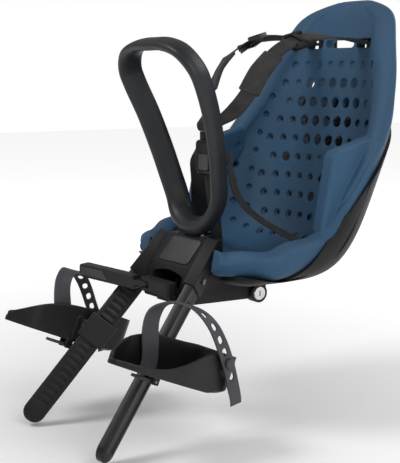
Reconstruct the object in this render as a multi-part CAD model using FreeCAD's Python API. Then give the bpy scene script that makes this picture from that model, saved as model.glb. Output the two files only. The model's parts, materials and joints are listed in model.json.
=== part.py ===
import FreeCAD, Part
import math
import os

# Child seat for the front of a bicycle: a foam bucket in a hard shell on a console with a dock,
# a grab handle, two adjustable legs with foot cups, and a five-point harness.
# Millimetres, +Z up, the child faces -Y, +X is the child's left.
# The origin is the centre of the dock's mouth.

V = FreeCAD.Vector

# Bucket: sections fan out round a line parallel to X, above the child's knees
FAN_Y = 60.0
FAN_Z = 260.0
LINER_FLOOR_ROUND = 2.6
LINER_BACK_ROUND = 2.2
RIM_ROUND = 9.0
SHELL_GAP = 0.6
SHELL_WALL = 4.0
NOTCH_HALF_WIDTH = 75.0
NOTCH_REAR_Y = 54.0

# Fan angle in degrees, spine radius, half width, rim depth, rim width, floor thickness, roundness outside
BUCKET_SECTIONS = (
    (22.9, 280.0, 36.0, 2.5, 20.0, 9.0, 2.4),
    (22.1, 270.0, 64.0, 4.0, 32.0, 16.0, 2.3),
    (20.6, 262.0, 88.0, 6.0, 38.0, 20.0, 2.2),
    (18.2, 254.0, 103.0, 11.0, 40.0, 21.0, 2.1),
    (15.0, 245.0, 112.0, 16.0, 42.0, 21.0, 2.0),
    (10.0, 234.0, 124.0, 20.0, 42.0, 20.0, 1.9),
    (3.0, 224.0, 138.0, 25.0, 42.0, 19.0, 1.8),
    (-8.0, 217.5, 152.0, 33.0, 42.0, 17.0, 1.68),
    (-20.0, 219.0, 164.0, 45.0, 38.0, 16.0, 1.65),
    (-32.0, 230.0, 168.0, 62.0, 34.0, 16.0, 1.68),
    (-45.0, 251.0, 168.0, 81.0, 32.0, 17.0, 1.78),
    (-57.0, 269.0, 167.0, 87.0, 32.0, 19.0, 1.95),
    (-68.0, 262.0, 164.0, 60.0, 36.0, 20.0, 2.3),
    (-78.0, 249.0, 161.0, 46.0, 40.0, 17.0, 2.8),
    (-86.0, 243.0, 154.0, 34.0, 42.0, 15.0, 3.4),
    (-92.0, 239.0, 141.0, 27.0, 42.0, 14.0, 3.8),
    (-97.0, 237.0, 118.0, 23.0, 40.0, 13.0, 4.0),
    (-101.0, 235.0, 94.0, 20.0, 36.0, 12.0, 4.0),
)
# Fan angle and depth of the shell's upper edge, the line where black meets foam
SHELL_EDGES = (
    (-27.0, 16.0),
    (-32.0, 33.0),
    (-45.0, 62.0),
    (-57.0, 57.0),
    (-68.0, 27.0),
    (-78.0, -2.0),
    (-88.0, -8.0),
    (-97.0, -7.0),
)
# Fineness of the bucket's sections
SECTION_STEPS = 7
FINE_STEPS = 60

# Armrest wings on the bucket's sides
WING_OUTER_X = 153.0
WING_WALL = 22.0
WING_CORNER = 14.0
WING_EDGE = 5.0
WING_BACK_Y = 234.0
WING_BACK_Z = 193.0
WING_FRONT_Y = 150.0
WING_FRONT_Z = 170.0
WING_FOOT_Y = 130.0
WING_FOOT_Z = 70.0
WING_ROOT_DROP = 9.0
WING_ROOT_BACK = 14.0
WING_ROOT_REAR_DROP = 34.0

# Vent pattern on the backrest, rows counted from the top
BACK_RECLINE = 13.0
BACK_BEND_RADIUS = 230.0
VENT_PITCH_X = 23.0
VENT_PITCH_Z = 26.7
VENT_TOP_Z = 281.0
VENT_HALF_WIDTHS = (97.0, 97.0, 103.0, 103.0, 108.0, 108.0, 105.0, 100.0, 96.0, 90.0)
VENT_HOLE_D = 15.0
VENT_OPEN_COUNTS = {1: 5, 2: 6, 3: 5, 4: 4}
DIMPLE_D = 10.5
DIMPLE_DEPTH = 3.5
PROBE_FRONT_Y = 100.0
PROBE_REAR_Y = 345.0

# Screws that hold the foam to the shell: row and place across
LINER_SCREWS = ((5, 69.0), (5, -69.0), (7, 0.0))
SCREW_HEAD_D = 13.0
SCREW_HEAD_H = 4.0
SCREW_SHANK_D = 6.0
SCREW_SINK = 6.0
SCREW_LENGTH = 12.0
SCREW_GAP = 0.2

# Headrest slots
SLOT_Z = 310.0
CENTRE_SLOT_WIDTH = 60.0
CENTRE_SLOT_HEIGHT = 11.0
STRAP_SLOT_X = 51.0
STRAP_SLOT_HEIGHT = 12.0
STRAP_SLOT_SIDE_GAP = 2.5
ANCHOR_WIDTH = 38.0
ANCHOR_HEIGHT = 22.0
ANCHOR_THICK = 4.0
SEAT_GAP = 0.3

# Console and dock
CONSOLE_HALF_WIDTH = 50.0
CONSOLE_REAR_Y = 124.0
CONSOLE_BOTTOM_Z = -29.0
CONSOLE_FRONT_Y = -8.0
CONSOLE_TOP_Z = 56.0
CONSOLE_TOP_Y = 34.0
CONSOLE_LIP_Y = 3.0
CONSOLE_LIP_Z = 20.0
CONSOLE_BACK_Y = 52.0
CONSOLE_SPINE_Z = 4.0
CONSOLE_EDGE = 2.5
CONSOLE_HEEL_ROUND = 8.0
CONSOLE_CHIN_RISE = 3.0
CONSOLE_CHIN_ROUND = 4.0
CONSOLE_BACK_ROUND = 3.0
CONSOLE_BROW_ROUND = 4.0
CONSOLE_LIP_ROUND = 1.5
CONSOLE_LIP_SETBACK = 4.0
CONSOLE_LIP_DROP = 8.0
CONSOLE_LIP_UNDER_ROUND = 2.0
DOCK_SILL = 2.0
DOCK_SILL_ROUND = 3.0
RAIL_LIP = 4.0
DOCK_HALF_WIDTH = 34.0
DOCK_FLOOR_Z = -14.0
DOCK_SIDE_Z = 8.0
DOCK_ARCH_Z = 14.0
DOCK_DEPTH = 56.0
COVER_WIDTH = 66.0
COVER_LENGTH = 38.0
COVER_THICK = 2.4
COVER_RECESS = 1.2
COVER_CORNER = 6.0
COVER_GAP = 0.4

# Lock on the console's left side
LOCK_Y = 106.0
LOCK_Z = -20.5
LOCK_BOSS_D = 25.0
LOCK_BOSS_ROOT = 6.0
LOCK_PROUD = 1.0
PLUG_PROUD = 0.8
LOCK_FACE_X = 58.0
LOCK_BARREL_D = 19.0
LOCK_BARREL_LENGTH = 13.0
LOCK_PLUG_D = 12.0
LOCK_RUNNING_GAP = 0.05
KEY_SLOT_LENGTH = 7.0
KEY_SLOT_WIDTH = 1.8
KEY_SLOT_DEPTH = 4.0

# Grab handle
HANDLE_FOOT_Y = 43.0
HANDLE_FOOT_Z = 66.0
HANDLE_LEAN = 15.5
HANDLE_HEIGHT = 246.0
HANDLE_TOP_HALF = 86.0
HANDLE_FOOT_HALF = 51.0
HANDLE_TOP_RADIUS = 66.0
HANDLE_FOOT_RADIUS = 42.0
HANDLE_DEEP = 36.0
HANDLE_THICK = 17.0
COLLAR_HALF_WIDTH = 33.0
COLLAR_HEIGHT = 14.0
COLLAR_CORNER = 5.0
HANDLE_BOLT_X = 18.0
HANDLE_BOLT_SETBACK = 1.0
COLLAR_SETBACK = 1.0
HANDLE_BOLT_D = 6.0
HANDLE_BOLT_HEAD_D = 10.0
HANDLE_BOLT_HEAD_H = 4.0
HANDLE_BOLT_BITE = 8.0

# Legs
LEG_TOP = V(52.4, 36.0, 47.0)
LEG_FOOT = V(95.7, -161.2, -185.8)
LEG_WIDE = 30.0
LEG_THICK = 12.0
LEG_TURN = 30.0
LEG_BEVEL = 1.8
LEG_END_RADIUS = 14.5
LEG_TOP_RADIUS = 2.0
LADDER_PITCH = 9.5
LADDER_START = 84.0
LADDER_END_MARGIN = 20.0
LADDER_POCKET = 5.5
LADDER_WIDTH = 18.0
LADDER_DEPTH = 3.0
SOCKET_LENGTH = 66.0
SOCKET_WALL = 2.2
SOCKET_GAP = 0.1
SOCKET_EDGE = 1.8
LEG_SCREW_D = 4.0
LEG_SCREW_HEAD_D = 8.0
LEG_SCREW_HEAD_H = 2.4
LEG_SCREW_BITE = 8.0
LEG_SCREW_PLACES = (22.0, 50.0)

# Foot cups
CUP_HEEL = V(121.0, -14.0, -122.0)
CUP_TOE = V(137.0, -178.0, -53.0)
CUP_HALF_WIDTH = 33.0
CUP_WALL = 3.5
CUP_HEEL_INSET = 4.0
CUP_HEEL_ROUND = 20.0
CUP_SIDE_ROUND = 60.0
CUP_SHOULDER_ROUND = 40.0
CUP_TOE_ROUND = 9.0
CUP_WIDEST = 0.42
CUP_SHOULDER = 0.8
CUP_SHOULDER_WIDTH = 0.74
CLIP_WEB_START = 44.0
CLIP_WEB_END = 84.0
CLIP_WEB_REACH = 12.0
CLIP_WEB_ROOT = 2.0
CLIP_WEB_DROP = 14.0
LUG_HALF_LENGTH = 5.0
LUG_DROP = 4.0
CUP_SOLE = 4.0
CUP_HEEL_HEIGHT = 51.0
CUP_INNER_HEIGHT = 48.0
CUP_DIP_HEIGHT = 14.0
CUP_TOE_HEIGHT = 6.0
CLIP_AT = 160.0
CLIP_LENGTH = 36.0
CLIP_WALL = 4.0
CLIP_GAP = 0.4
LATCH_PIVOT_A = 86.0
LATCH_PIVOT_C = -7.0
LATCH_CENTRE_B = -21.0
LATCH_WIDTH = 14.0
LATCH_THICK = 3.5
LATCH_REACH = 28.0
LATCH_TAIL = 6.0
LATCH_TAIL_ROUND = 1.0
LATCH_TIP_ROUND = 4.0
LATCH_PIN_D = 3.0
LATCH_PIN_GAP = 0.06
LATCH_SIDE_GAP = 0.4
LUG_THICK = 4.0

# Foot straps
STRAP_THICK = 2.4
STRAP_HOLE_LONG = 10.0
STRAP_HOLE_WIDE = 7.0
STRAP_HOLES_BEFORE_PEG = 5
STRAP_HOLES_AFTER_PEG = 1
PEG_PLACE = (29.0, 36.6, 41.5)
PEG_HEAD_D = 12.0
PEG_HEAD_H = 4.0
PEG_STEM_D = 6.0

# Strap stations on a cup: towards the toe, outboard and up, the direction of the strap's width, its width
STRAP_STATIONS = (
    (97.0, -21.5, 4.3, 1.0, 0.0, 0.0, 24.0),
    (97.0, -21.7, 13.0, 1.0, 0.0, 0.0, 24.0),
    (101.0, -21.6, 26.0, 1.0, 0.0, -0.3, 24.0),
    (108.0, -21.0, 41.0, 1.0, 0.0, -0.4, 24.0),
    (114.5, -20.0, 57.0, 1.0, 0.0, -0.3, 23.0),
    (117.0, -16.5, 72.0, 1.0, 0.1, -0.1, 22.0),
    (113.0, -9.0, 84.0, 0.85, 0.45, -0.1, 21.0),
    (105.0, 2.0, 90.0, 0.72, 0.69, 0.0, 20.0),
    (92.0, 12.5, 90.5, 0.63, 0.75, -0.15, 18.0),
    (77.0, 21.5, 86.0, 0.58, 0.6, -0.5, 17.0),
    (62.5, 29.0, 76.5, 0.62, 0.3, -0.68, 17.0),
    (50.0, 33.2, 64.5, 0.68, 0.1, -0.7, 17.0),
    (39.0, 35.6, 52.5, 0.72, 0.0, -0.69, 17.0),
    PEG_PLACE + (0.72, 0.0, -0.69, 17.0),
    (18.0, 37.3, 28.0, 0.75, 0.0, -0.66, 17.0),
    (6.5, 38.2, 12.5, 0.78, 0.0, -0.62, 17.0),
    (-3.0, 38.6, -2.5, 0.8, 0.0, -0.6, 16.0),
)
PEG_STATION = 13

# Release lever
LEVER_PIVOT = V(-15.0, -24.0, -13.0)
LEVER_TIP = V(-120.0, -63.0, -5.0)
LEVER_HEIGHT = 18.0
LEVER_DEEP = 17.0
LEVER_PIN_D = 6.0
LEVER_PIN_GAP = 0.06
LEVER_EAR = 5.0
LEVER_EAR_GAP = 0.4
LEVER_KNUCKLE = 17.0
LEVER_NECK_ROUND = 2.0
LEVER_TIP_ROUND = 6.0
LEVER_CORNER = 5.0
LEVER_END_SLACK = 0.1
LEVER_FOOT_INSET = 6.0
LEVER_FOOT_RISE = 8.0
LEVER_FOOT_TOP = 3.0
LEVER_BASE_RIGHT_X = 45.0
LEVER_FOOT_LEFT_X = 8.0

# Harness
WEB_WIDTH = 25.0
WEB_THICK = 1.8
WEB_GAP = 0.4
SLEEVE_WIDTH = 33.0
SLEEVE_THICK = 5.0
SLIDER_WIDTH = 34.0
SLIDER_THICK = 7.0
BUCKLE_WIDTH = 44.0
BUCKLE_HEIGHT = 46.0
BUCKLE_DEEP = 17.0
BUCKLE_EDGE = 4.0
BUCKLE_LOWER_ROUND = 10.0
BUCKLE_UPPER_ROUND = 6.0
BUCKLE_Y = 65.0
BUCKLE_Z = 158.0
BUTTON_SIZE = 22.0
BUTTON_GAP = 0.4
BUTTON_PROUD = 2.0
BUTTON_DEEP = 6.0
BUTTON_TRAVEL = 2.5
BUTTON_CORNER = 4.0
BUTTON_EDGE = 1.2
TONGUE_WIDTH = 18.0
TONGUE_THICK = 3.0
TONGUE_LENGTH = 20.0
TONGUE_SUNK = 9.0
TONGUE_X = 11.0
BUCKLE_WEB_OFFSET = 1.0
SHOULDER_ENTRY_Y = 296.0
# Strap stations: place and width direction
SHOULDER_STATIONS = (
    (51.0, 262.0, 315.0, 1.0, 0.0, 0.0),
    (51.0, 225.0, 318.0, 1.0, 0.0, 0.0),
    (51.0, 190.0, 316.0, 1.0, 0.0, 0.0),
    (50.0, 160.0, 308.0, 1.0, 0.0, 0.0),
    (49.0, 134.0, 293.0, 1.0, 0.0, 0.0),
    (46.0, 113.0, 270.0, 1.0, 0.0, 0.0),
    (41.0, 98.0, 243.0, 0.86, 0.2, -0.3),
    (31.0, 84.0, 221.0, 0.86, 0.2, -0.3),
    (17.0, 69.0, 206.0, 1.0, 0.0, 0.0),
)
WAIST_STATIONS = (
    (28.0, 67.0, 158.5, 0.0, 0.0, 1.0),
    (33.5, 71.0, 154.0, 0.25, -0.35, 0.9),
    (36.0, 74.0, 142.0, 0.5, -0.7, 0.5),
    (37.5, 76.5, 126.0, 0.58, -0.81, 0.0),
    (43.0, 80.5, 109.0, 0.58, -0.81, 0.0),
    (53.0, 87.5, 94.0, 0.58, -0.81, 0.0),
    (66.5, 97.0, 81.0, 0.58, -0.81, 0.0),
    (82.0, 108.5, 70.0, 0.58, -0.81, 0.0),
    (98.0, 120.0, 60.5, 0.58, -0.81, 0.0),
    (114.0, 131.0, 51.5, 0.58, -0.81, 0.0),
    (129.0, 141.5, 43.0, 0.58, -0.81, 0.0),
)
CROTCH_STATIONS = (
    (70.0, 105.0),
    (75.0, 72.0),
    (78.0, 40.0),
    (78.0, 6.0),
)
# Places on the shoulder strap that the slider and the sleeve cover
SLIDER_STATIONS = slice(4, 6)
SLEEVE_STATIONS = slice(6, 9)


def box(x0, x1, y0, y1, z0, z1):
    """Block between two corners."""
    return Part.makeBox(x1 - x0, y1 - y0, z1 - z0, V(x0, y0, z0))


def cylinder(start, axis, diameter, length):
    """Round bar from start along axis."""
    return Part.makeCylinder(diameter / 2, length, start, axis)


def mirrored(shape):
    """The same piece on the other side of the seat."""
    return shape.mirror(V(0, 0, 0), V(1, 0, 0))


def framed(shape, origin, x_axis, y_axis, z_axis):
    """Move a shape from local axes to the given frame."""
    matrix = FreeCAD.Matrix(
        x_axis.x, y_axis.x, z_axis.x, origin.x,
        x_axis.y, y_axis.y, z_axis.y, origin.y,
        x_axis.z, y_axis.z, z_axis.z, origin.z,
        0, 0, 0, 1,
    )
    moved = shape.copy()
    moved.Placement = FreeCAD.Placement(matrix).multiply(moved.Placement)
    return moved


def unit(vector):
    """Copy of a vector with length one."""
    copy = V(vector)
    return copy.normalize()


def rounded_wire(corners, place):
    """Closed outline through (u, v, radius) corners, each rounded by an arc."""
    flat = [V(u, v, 0) for u, v, _ in corners]
    edges = []
    joints = []
    count = len(corners)
    for i in range(count):
        corner = flat[i]
        before = unit(flat[i - 1] - corner)
        after = unit(flat[(i + 1) % count] - corner)
        radius = corners[i][2]
        half = before.getAngle(after) / 2
        reach = radius / math.tan(half)
        to_centre = unit(before + after)
        middle = corner + to_centre * (radius / math.sin(half) - radius)
        joints.append((corner + before * reach, middle, corner + after * reach, radius))
    for i in range(count):
        start, middle, end, radius = joints[i]
        if radius > 0:
            edges.append(Part.Arc(place(start), place(middle), place(end)).toShape())
        following = joints[(i + 1) % count][0]
        if (following - end).Length > 1e-6:
            edges.append(Part.LineSegment(place(end), place(following)).toShape())
    return Part.Wire(edges)


def plate(corners, place, direction):
    """Extrude a rounded outline."""
    return Part.Face(rounded_wire(corners, place)).extrude(direction)


def side_prism(corners, x0, x1):
    """Extrude a (Y, Z, radius) outline across the seat."""
    return plate(corners, lambda p: V(x0, p.x, p.y), V(x1 - x0, 0, 0))


def tapered_band(stations, widths, thick):
    """Flat strap through (centre, width direction) stations, with its own width at each."""
    wires = []
    count = len(stations)
    for i, (centre, across) in enumerate(stations):
        ahead = stations[min(i + 1, count - 1)][0] - stations[max(i - 1, 0)][0]
        along = unit(ahead)
        side = unit(across - along * across.dot(along))
        normal = side.cross(along)
        a = side * (widths[i] / 2)
        b = normal * (thick / 2)
        wires.append(Part.makePolygon([centre - a - b, centre + a - b, centre + a + b,
                                       centre - a + b, centre - a - b]))
    return Part.makeLoft(wires, True, False)


def band(stations, width, thick):
    """Flat strap of one width."""
    return tapered_band(stations, [width] * len(stations), thick)


# Bucket

def fan_axes(angle):
    """Direction from the fan line outwards at an angle above straight back."""
    turn = math.radians(angle)
    return V(0, math.cos(turn), math.sin(turn))


def interpolate(table, angle, column):
    """Value of a column between the two nearest sections."""
    rows = sorted(table)
    for low, high in zip(rows, rows[1:]):
        if low[0] <= angle <= high[0]:
            share = (angle - low[0]) / (high[0] - low[0])
            return low[column] + (high[column] - low[column]) * share
    raise ValueError("angle outside the bucket")


def evenly_spaced(points):
    """A few points at equal distances along a fine row of points."""
    lengths = [0.0]
    for a, b in zip(points, points[1:]):
        lengths.append(lengths[-1] + (b - a).Length)
    chosen = []
    i = 0
    for k in range(SECTION_STEPS + 1):
        want = lengths[-1] * k / SECTION_STEPS
        while i < len(points) - 2 and lengths[i + 1] < want:
            i += 1
        share = (want - lengths[i]) / (lengths[i + 1] - lengths[i])
        chosen.append(points[i] + (points[i + 1] - points[i]) * share)
    return chosen


def curve_points(angle, radius, half, rise, power, offset, last=math.pi / 2):
    """Half of a U-shaped section from the middle outward, as rounded as power says."""
    outward = fan_axes(angle)
    points = []
    for i in range(FINE_STEPS + 1):
        turn = last * i / FINE_STEPS
        x = half * math.sin(turn) ** (2 / power)
        depth = rise * (1 - math.cos(turn) ** (2 / power)) - offset
        points.append(V(x, FAN_Y, FAN_Z) + outward * (radius - depth))
    return evenly_spaced(points)


def smooth_edge(points):
    """Curve through points, with the same knots for every section."""
    last = len(points) - 1
    curve = Part.BSplineCurve()
    curve.interpolate(Points=points, Parameters=[i / last for i in range(last + 1)])
    return curve.toShape()


def spline_edge(half_points):
    """Smooth edge through half of a section and its mirror image."""
    other = [V(-p.x, p.y, p.z) for p in reversed(half_points[1:])]
    return smooth_edge(other + half_points)


def rim_edge(inner_end, outer_end, crest, mirror):
    """Arc-like cap from the inner arm end over the crest to the outer arm end."""
    flip = -1.0 if mirror else 1.0
    a = V(flip * inner_end.x, inner_end.y, inner_end.z)
    b = V(flip * crest.x, crest.y, crest.z)
    c = V(flip * outer_end.x, outer_end.y, outer_end.z)
    return smooth_edge(Part.Arc(a, b, c).toShape().discretize(SECTION_STEPS))


def u_section(angle, radius, inner, outer, cap):
    """Closed U-shaped wire; inner and outer are (half, rise, power, offset)."""
    inside = curve_points(angle, radius, *inner)
    outside = curve_points(angle, radius, *outer)
    middle = (inside[-1] + outside[-1]) * 0.5
    crest = middle - fan_axes(angle) * cap
    edges = [spline_edge(inside), rim_edge(inside[-1], outside[-1], crest, False),
             spline_edge(outside), rim_edge(inside[-1], outside[-1], crest, True)]
    return Part.Wire(Part.__sortEdges__(edges))


def inner_power(angle):
    """Roundness of the inner surface: soft on the back, fuller on the floor."""
    share = min(max((-angle - 10.0) / 50.0, 0.0), 1.0)
    return LINER_BACK_ROUND + (LINER_FLOOR_ROUND - LINER_BACK_ROUND) * share


def liner_wire(row):
    """Section of the foam bucket."""
    angle, radius, half, rim, rim_width, floor, roundness = row
    cap = min(RIM_ROUND, rim * 0.6)
    rise = rim - cap
    inner = (half - rim_width, rise, inner_power(angle), 0.0)
    outer = (half, rise + floor, roundness, floor)
    return u_section(angle, radius, inner, outer, cap)


def full_rise(angle):
    """Height of the bucket's outer arm at an angle, from its floor."""
    rim = interpolate(BUCKET_SECTIONS, angle, 3)
    return rim - min(RIM_ROUND, rim * 0.6) + interpolate(BUCKET_SECTIONS, angle, 5)


def partial_points(angle, clearance, edge):
    """Half of the bucket's outer curve, from the middle up to a depth of edge."""
    radius = interpolate(BUCKET_SECTIONS, angle, 1)
    half = interpolate(BUCKET_SECTIONS, angle, 2) + clearance
    offset = interpolate(BUCKET_SECTIONS, angle, 5) + clearance
    rise = full_rise(angle) + clearance
    roundness = interpolate(BUCKET_SECTIONS, angle, 6)
    share = min(max((edge + offset) / rise, 0.02), 1.0)
    last = math.acos((1 - share) ** (roundness / 2))
    return curve_points(angle, radius, half, rise, roundness, offset, last)


def shell_wire(row, inner_gap, outer_gap):
    """Section of a wall between two distances from the bucket's outside."""
    angle, edge = row
    inside = partial_points(angle, inner_gap, edge)
    outside = partial_points(angle, outer_gap, edge)
    left_in = V(-inside[-1].x, inside[-1].y, inside[-1].z)
    left_out = V(-outside[-1].x, outside[-1].y, outside[-1].z)
    edges = [spline_edge(inside), Part.makeLine(inside[-1], outside[-1]),
             spline_edge(outside), Part.makeLine(left_in, left_out)]
    return Part.Wire(Part.__sortEdges__(edges))


def hull_wire(angle, clearance):
    """Closed outline of everything inside the bucket's outside, for cutting seats."""
    points = partial_points(angle, clearance, interpolate(BUCKET_SECTIONS, angle, 3))
    left = V(-points[-1].x, points[-1].y, points[-1].z)
    return Part.Wire(Part.__sortEdges__([spline_edge(points), Part.makeLine(points[-1], left)]))


def shell_wall(inner_gap, outer_gap):
    """Wall that follows the bucket's outside up to the shell's edge."""
    return Part.makeLoft([shell_wire(row, inner_gap, outer_gap) for row in SHELL_EDGES], True, False)


def notch():
    """Room for the console and the leg sockets in the front of the bucket."""
    far = 2 * FAN_Z
    return box(-NOTCH_HALF_WIDTH, NOTCH_HALF_WIDTH, -far, NOTCH_REAR_Y, -far, far)


def wing():
    """Armrest wall on the child's left, rooted in the bucket's rim."""
    corners = [
        (WING_BACK_Y, WING_BACK_Z, 0.0),
        (WING_FRONT_Y, WING_FRONT_Z, WING_CORNER),
        (WING_FOOT_Y, WING_FOOT_Z, 0.0),
        (WING_FOOT_Y + WING_ROOT_BACK, WING_FOOT_Z - WING_ROOT_DROP, 0.0),
        (WING_BACK_Y - WING_ROOT_BACK / 2, WING_BACK_Z - WING_ROOT_REAR_DROP, 0.0),
    ]
    solid = side_prism(corners, WING_OUTER_X - WING_WALL, WING_OUTER_X)
    crest = [e for e in solid.Edges if e.BoundBox.XLength < 1e-6
             and e.CenterOfMass.y < WING_BACK_Y - WING_ROOT_BACK
             and e.CenterOfMass.z > WING_FOOT_Z + WING_ROOT_REAR_DROP]
    return solid.makeFillet(WING_EDGE, crest)


def surface_y(surface, x, z):
    """Place where a line through the seat at (x, z) meets one of the bucket's surfaces."""
    line = Part.LineSegment(V(abs(x), PROBE_FRONT_Y, z), V(abs(x), PROBE_REAR_Y, z))
    return max(hit.Y for hit in line.intersectCS(surface)[0])


def into_back(x):
    """Direction straight into the backrest at a place across."""
    recline = math.radians(BACK_RECLINE)
    bend = x / BACK_BEND_RADIUS
    return unit(V(math.sin(bend), math.cos(bend) * math.cos(recline), -math.sin(recline)))


def vent_row(row):
    """Height of a row of vents and the places of its vents across."""
    z = VENT_TOP_Z - row * VENT_PITCH_Z
    first = VENT_PITCH_X / 2 if row % 2 == 0 else 0.0
    places = []
    x = first
    while x <= VENT_HALF_WIDTHS[row]:
        places.append(x)
        if x > 0:
            places.append(-x)
        x += VENT_PITCH_X
    return z, places


def vents(inside):
    """Open holes in the middle of the backrest and shallow dimples round them."""
    tools = []
    for row in range(len(VENT_HALF_WIDTHS)):
        z, places = vent_row(row)
        open_half = VENT_OPEN_COUNTS.get(row, 0) * VENT_PITCH_X / 2
        depths = {x: surface_y(inside, x, z) for x in places if x >= 0}
        for x in places:
            if (row, x) in LINER_SCREWS:
                continue
            direction = into_back(x)
            point = V(x, depths[abs(x)], z)
            run_in = DIMPLE_D
            if abs(x) < open_half:
                tools.append(cylinder(point - direction * run_in, direction, VENT_HOLE_D, 6 * run_in))
            else:
                tools.append(cylinder(point - direction * run_in, direction, DIMPLE_D,
                                      run_in + DIMPLE_DEPTH))
    return tools


def liner_screw_frames(inside):
    """Entry point and direction of each screw through the foam."""
    frames = []
    for row, x in LINER_SCREWS:
        z = vent_row(row)[0]
        frames.append((V(x, surface_y(inside, x, z), z), into_back(x)))
    return frames


def liner_screw(point, direction):
    """Pan-head screw sunk in the foam."""
    head_at = point + direction * (SCREW_SINK - SCREW_HEAD_H)
    head = cylinder(head_at, direction, SCREW_HEAD_D, SCREW_HEAD_H)
    shank = cylinder(head_at, direction, SCREW_SHANK_D, SCREW_HEAD_H + SCREW_LENGTH)
    return head.fuse(shank)


def liner_screw_hole(point, direction):
    """Sunk hole for a screw through the foam and the shell."""
    sink = cylinder(point - direction * SCREW_HEAD_D, direction, SCREW_HEAD_D + 2 * SCREW_GAP,
                    SCREW_HEAD_D + SCREW_SINK + SCREW_GAP)
    run = cylinder(point, direction, SCREW_SHANK_D + 2 * SCREW_GAP, 5 * SCREW_LENGTH)
    return sink.fuse(run)


def headrest_slots():
    """Middle slot and the two slots that the shoulder straps go through."""
    depth = V(0, PROBE_REAR_Y - PROBE_FRONT_Y, 0)
    half = CENTRE_SLOT_WIDTH / 2
    low = SLOT_Z - CENTRE_SLOT_HEIGHT / 2
    high = SLOT_Z + CENTRE_SLOT_HEIGHT / 2
    corner = CENTRE_SLOT_HEIGHT * 0.49
    centre = plate([(-half, low, corner), (half, low, corner), (half, high, corner), (-half, high, corner)],
                   lambda p: V(p.x, PROBE_FRONT_Y, p.y), depth)
    reach = WEB_WIDTH / 2 + STRAP_SLOT_SIDE_GAP
    side = box(STRAP_SLOT_X - reach, STRAP_SLOT_X + reach, PROBE_FRONT_Y, PROBE_REAR_Y,
               SLOT_Z - STRAP_SLOT_HEIGHT / 2, SLOT_Z + STRAP_SLOT_HEIGHT / 2)
    return [centre, side, mirrored(side)]


# Harness routes

def shoulder_route(rear_y):
    """Shoulder strap from its anchor behind the headrest to its tongue."""
    across = V(1, 0, 0)
    start = [(V(STRAP_SLOT_X, rear_y, SLOT_Z), across), (V(STRAP_SLOT_X, SHOULDER_ENTRY_Y, SLOT_Z), across)]
    hang = [(V(*row[:3]), V(*row[3:])) for row in SHOULDER_STATIONS]
    top = tongue_top()
    end = [(V(TONGUE_X, BUCKLE_Y, top + WEB_WIDTH / 4), across),
           (V(TONGUE_X, BUCKLE_Y, top + SEAT_GAP), across)]
    return start + hang + end


def tongue_top():
    """Height of the tongues' upper end."""
    return BUCKLE_Z + BUCKLE_HEIGHT / 2 - TONGUE_SUNK + TONGUE_LENGTH


def waist_route():
    """Waist strap that leaves the buckle's side, twists, hangs and goes into the foam beside the hip."""
    start = (V(BUCKLE_WIDTH / 2 + SEAT_GAP, BUCKLE_Y + BUCKLE_WEB_OFFSET, BUCKLE_Z), V(0, 0, 1))
    return [start] + [(V(*row[:3]), V(*row[3:])) for row in WAIST_STATIONS]


def crotch_route():
    """Crotch strap from the buckle down through the floor."""
    across = V(1, 0, 0)
    top = BUCKLE_Z - BUCKLE_HEIGHT / 2 - SEAT_GAP
    start = (V(0, BUCKLE_Y + BUCKLE_WEB_OFFSET, top), across)
    return [start] + [(V(0, y, z), across) for y, z in CROTCH_STATIONS]


# Console, cover, lock and handle

def console_slope():
    """Middle, direction up the slope and outward normal of the console's front slope."""
    low = V(0, CONSOLE_LIP_Y, CONSOLE_LIP_Z)
    high = V(0, CONSOLE_TOP_Y, CONSOLE_TOP_Z)
    up = unit(high - low)
    return (low + high) * 0.5, up, V(1, 0, 0).cross(up)


def cover_plate(gap, bottom, thick):
    """Rounded plate on the console's slope."""
    middle, up, normal = console_slope()
    half_x = COVER_WIDTH / 2 + gap
    half_y = COVER_LENGTH / 2 + gap
    corner = COVER_CORNER + gap
    flat = plate([(-half_x, -half_y, corner), (half_x, -half_y, corner),
                  (half_x, half_y, corner), (-half_x, half_y, corner)],
                 lambda p: V(p.x, p.y, bottom), V(0, 0, thick))
    return framed(flat, middle, V(1, 0, 0), up, normal)


def hull_seat():
    """Everything inside the shell, behind the notch."""
    angles = [row[0] for row in SHELL_EDGES]
    hull = Part.makeLoft([hull_wire(angle, SHELL_GAP + SHELL_WALL / 2) for angle in angles], True, False)
    far = 2 * FAN_Z
    return hull.common(box(-far, far, NOTCH_REAR_Y - SEAT_GAP, far, -far, far))


def dock_cavity():
    """Room for the bracket's tongue, with an arched roof."""
    start = CONSOLE_FRONT_Y - 1.0
    corners = [V(-DOCK_HALF_WIDTH, start, DOCK_SIDE_Z), V(-DOCK_HALF_WIDTH, start, DOCK_FLOOR_Z),
               V(DOCK_HALF_WIDTH, start, DOCK_FLOOR_Z), V(DOCK_HALF_WIDTH, start, DOCK_SIDE_Z)]
    edges = [Part.makeLine(a, b) for a, b in zip(corners, corners[1:])]
    edges.append(Part.Arc(corners[3], V(0, start, DOCK_ARCH_Z), corners[0]).toShape())
    return Part.Face(Part.Wire(edges)).extrude(V(0, DOCK_DEPTH + 1.0, 0))


def dock_rails():
    """Two hooked rails on the dock's floor that hold the bracket's tongue down."""
    depth = DOCK_DEPTH / 2
    inner = DOCK_HALF_WIDTH / 3
    lip = RAIL_LIP
    rail = plate([(inner, DOCK_FLOOR_Z - 1.0, 0.0), (inner + lip, DOCK_FLOOR_Z - 1.0, 0.0),
                  (inner + lip, DOCK_FLOOR_Z + 3 * lip, 0.0), (inner - lip, DOCK_FLOOR_Z + 3 * lip, 0.0),
                  (inner - lip, DOCK_FLOOR_Z + 2 * lip, 0.0), (inner, DOCK_FLOOR_Z + 2 * lip, 0.0)],
                 lambda p: V(p.x, CONSOLE_FRONT_Y + depth, p.y), V(0, depth + 1.0, 0))
    return [rail, mirrored(rail)]


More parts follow.
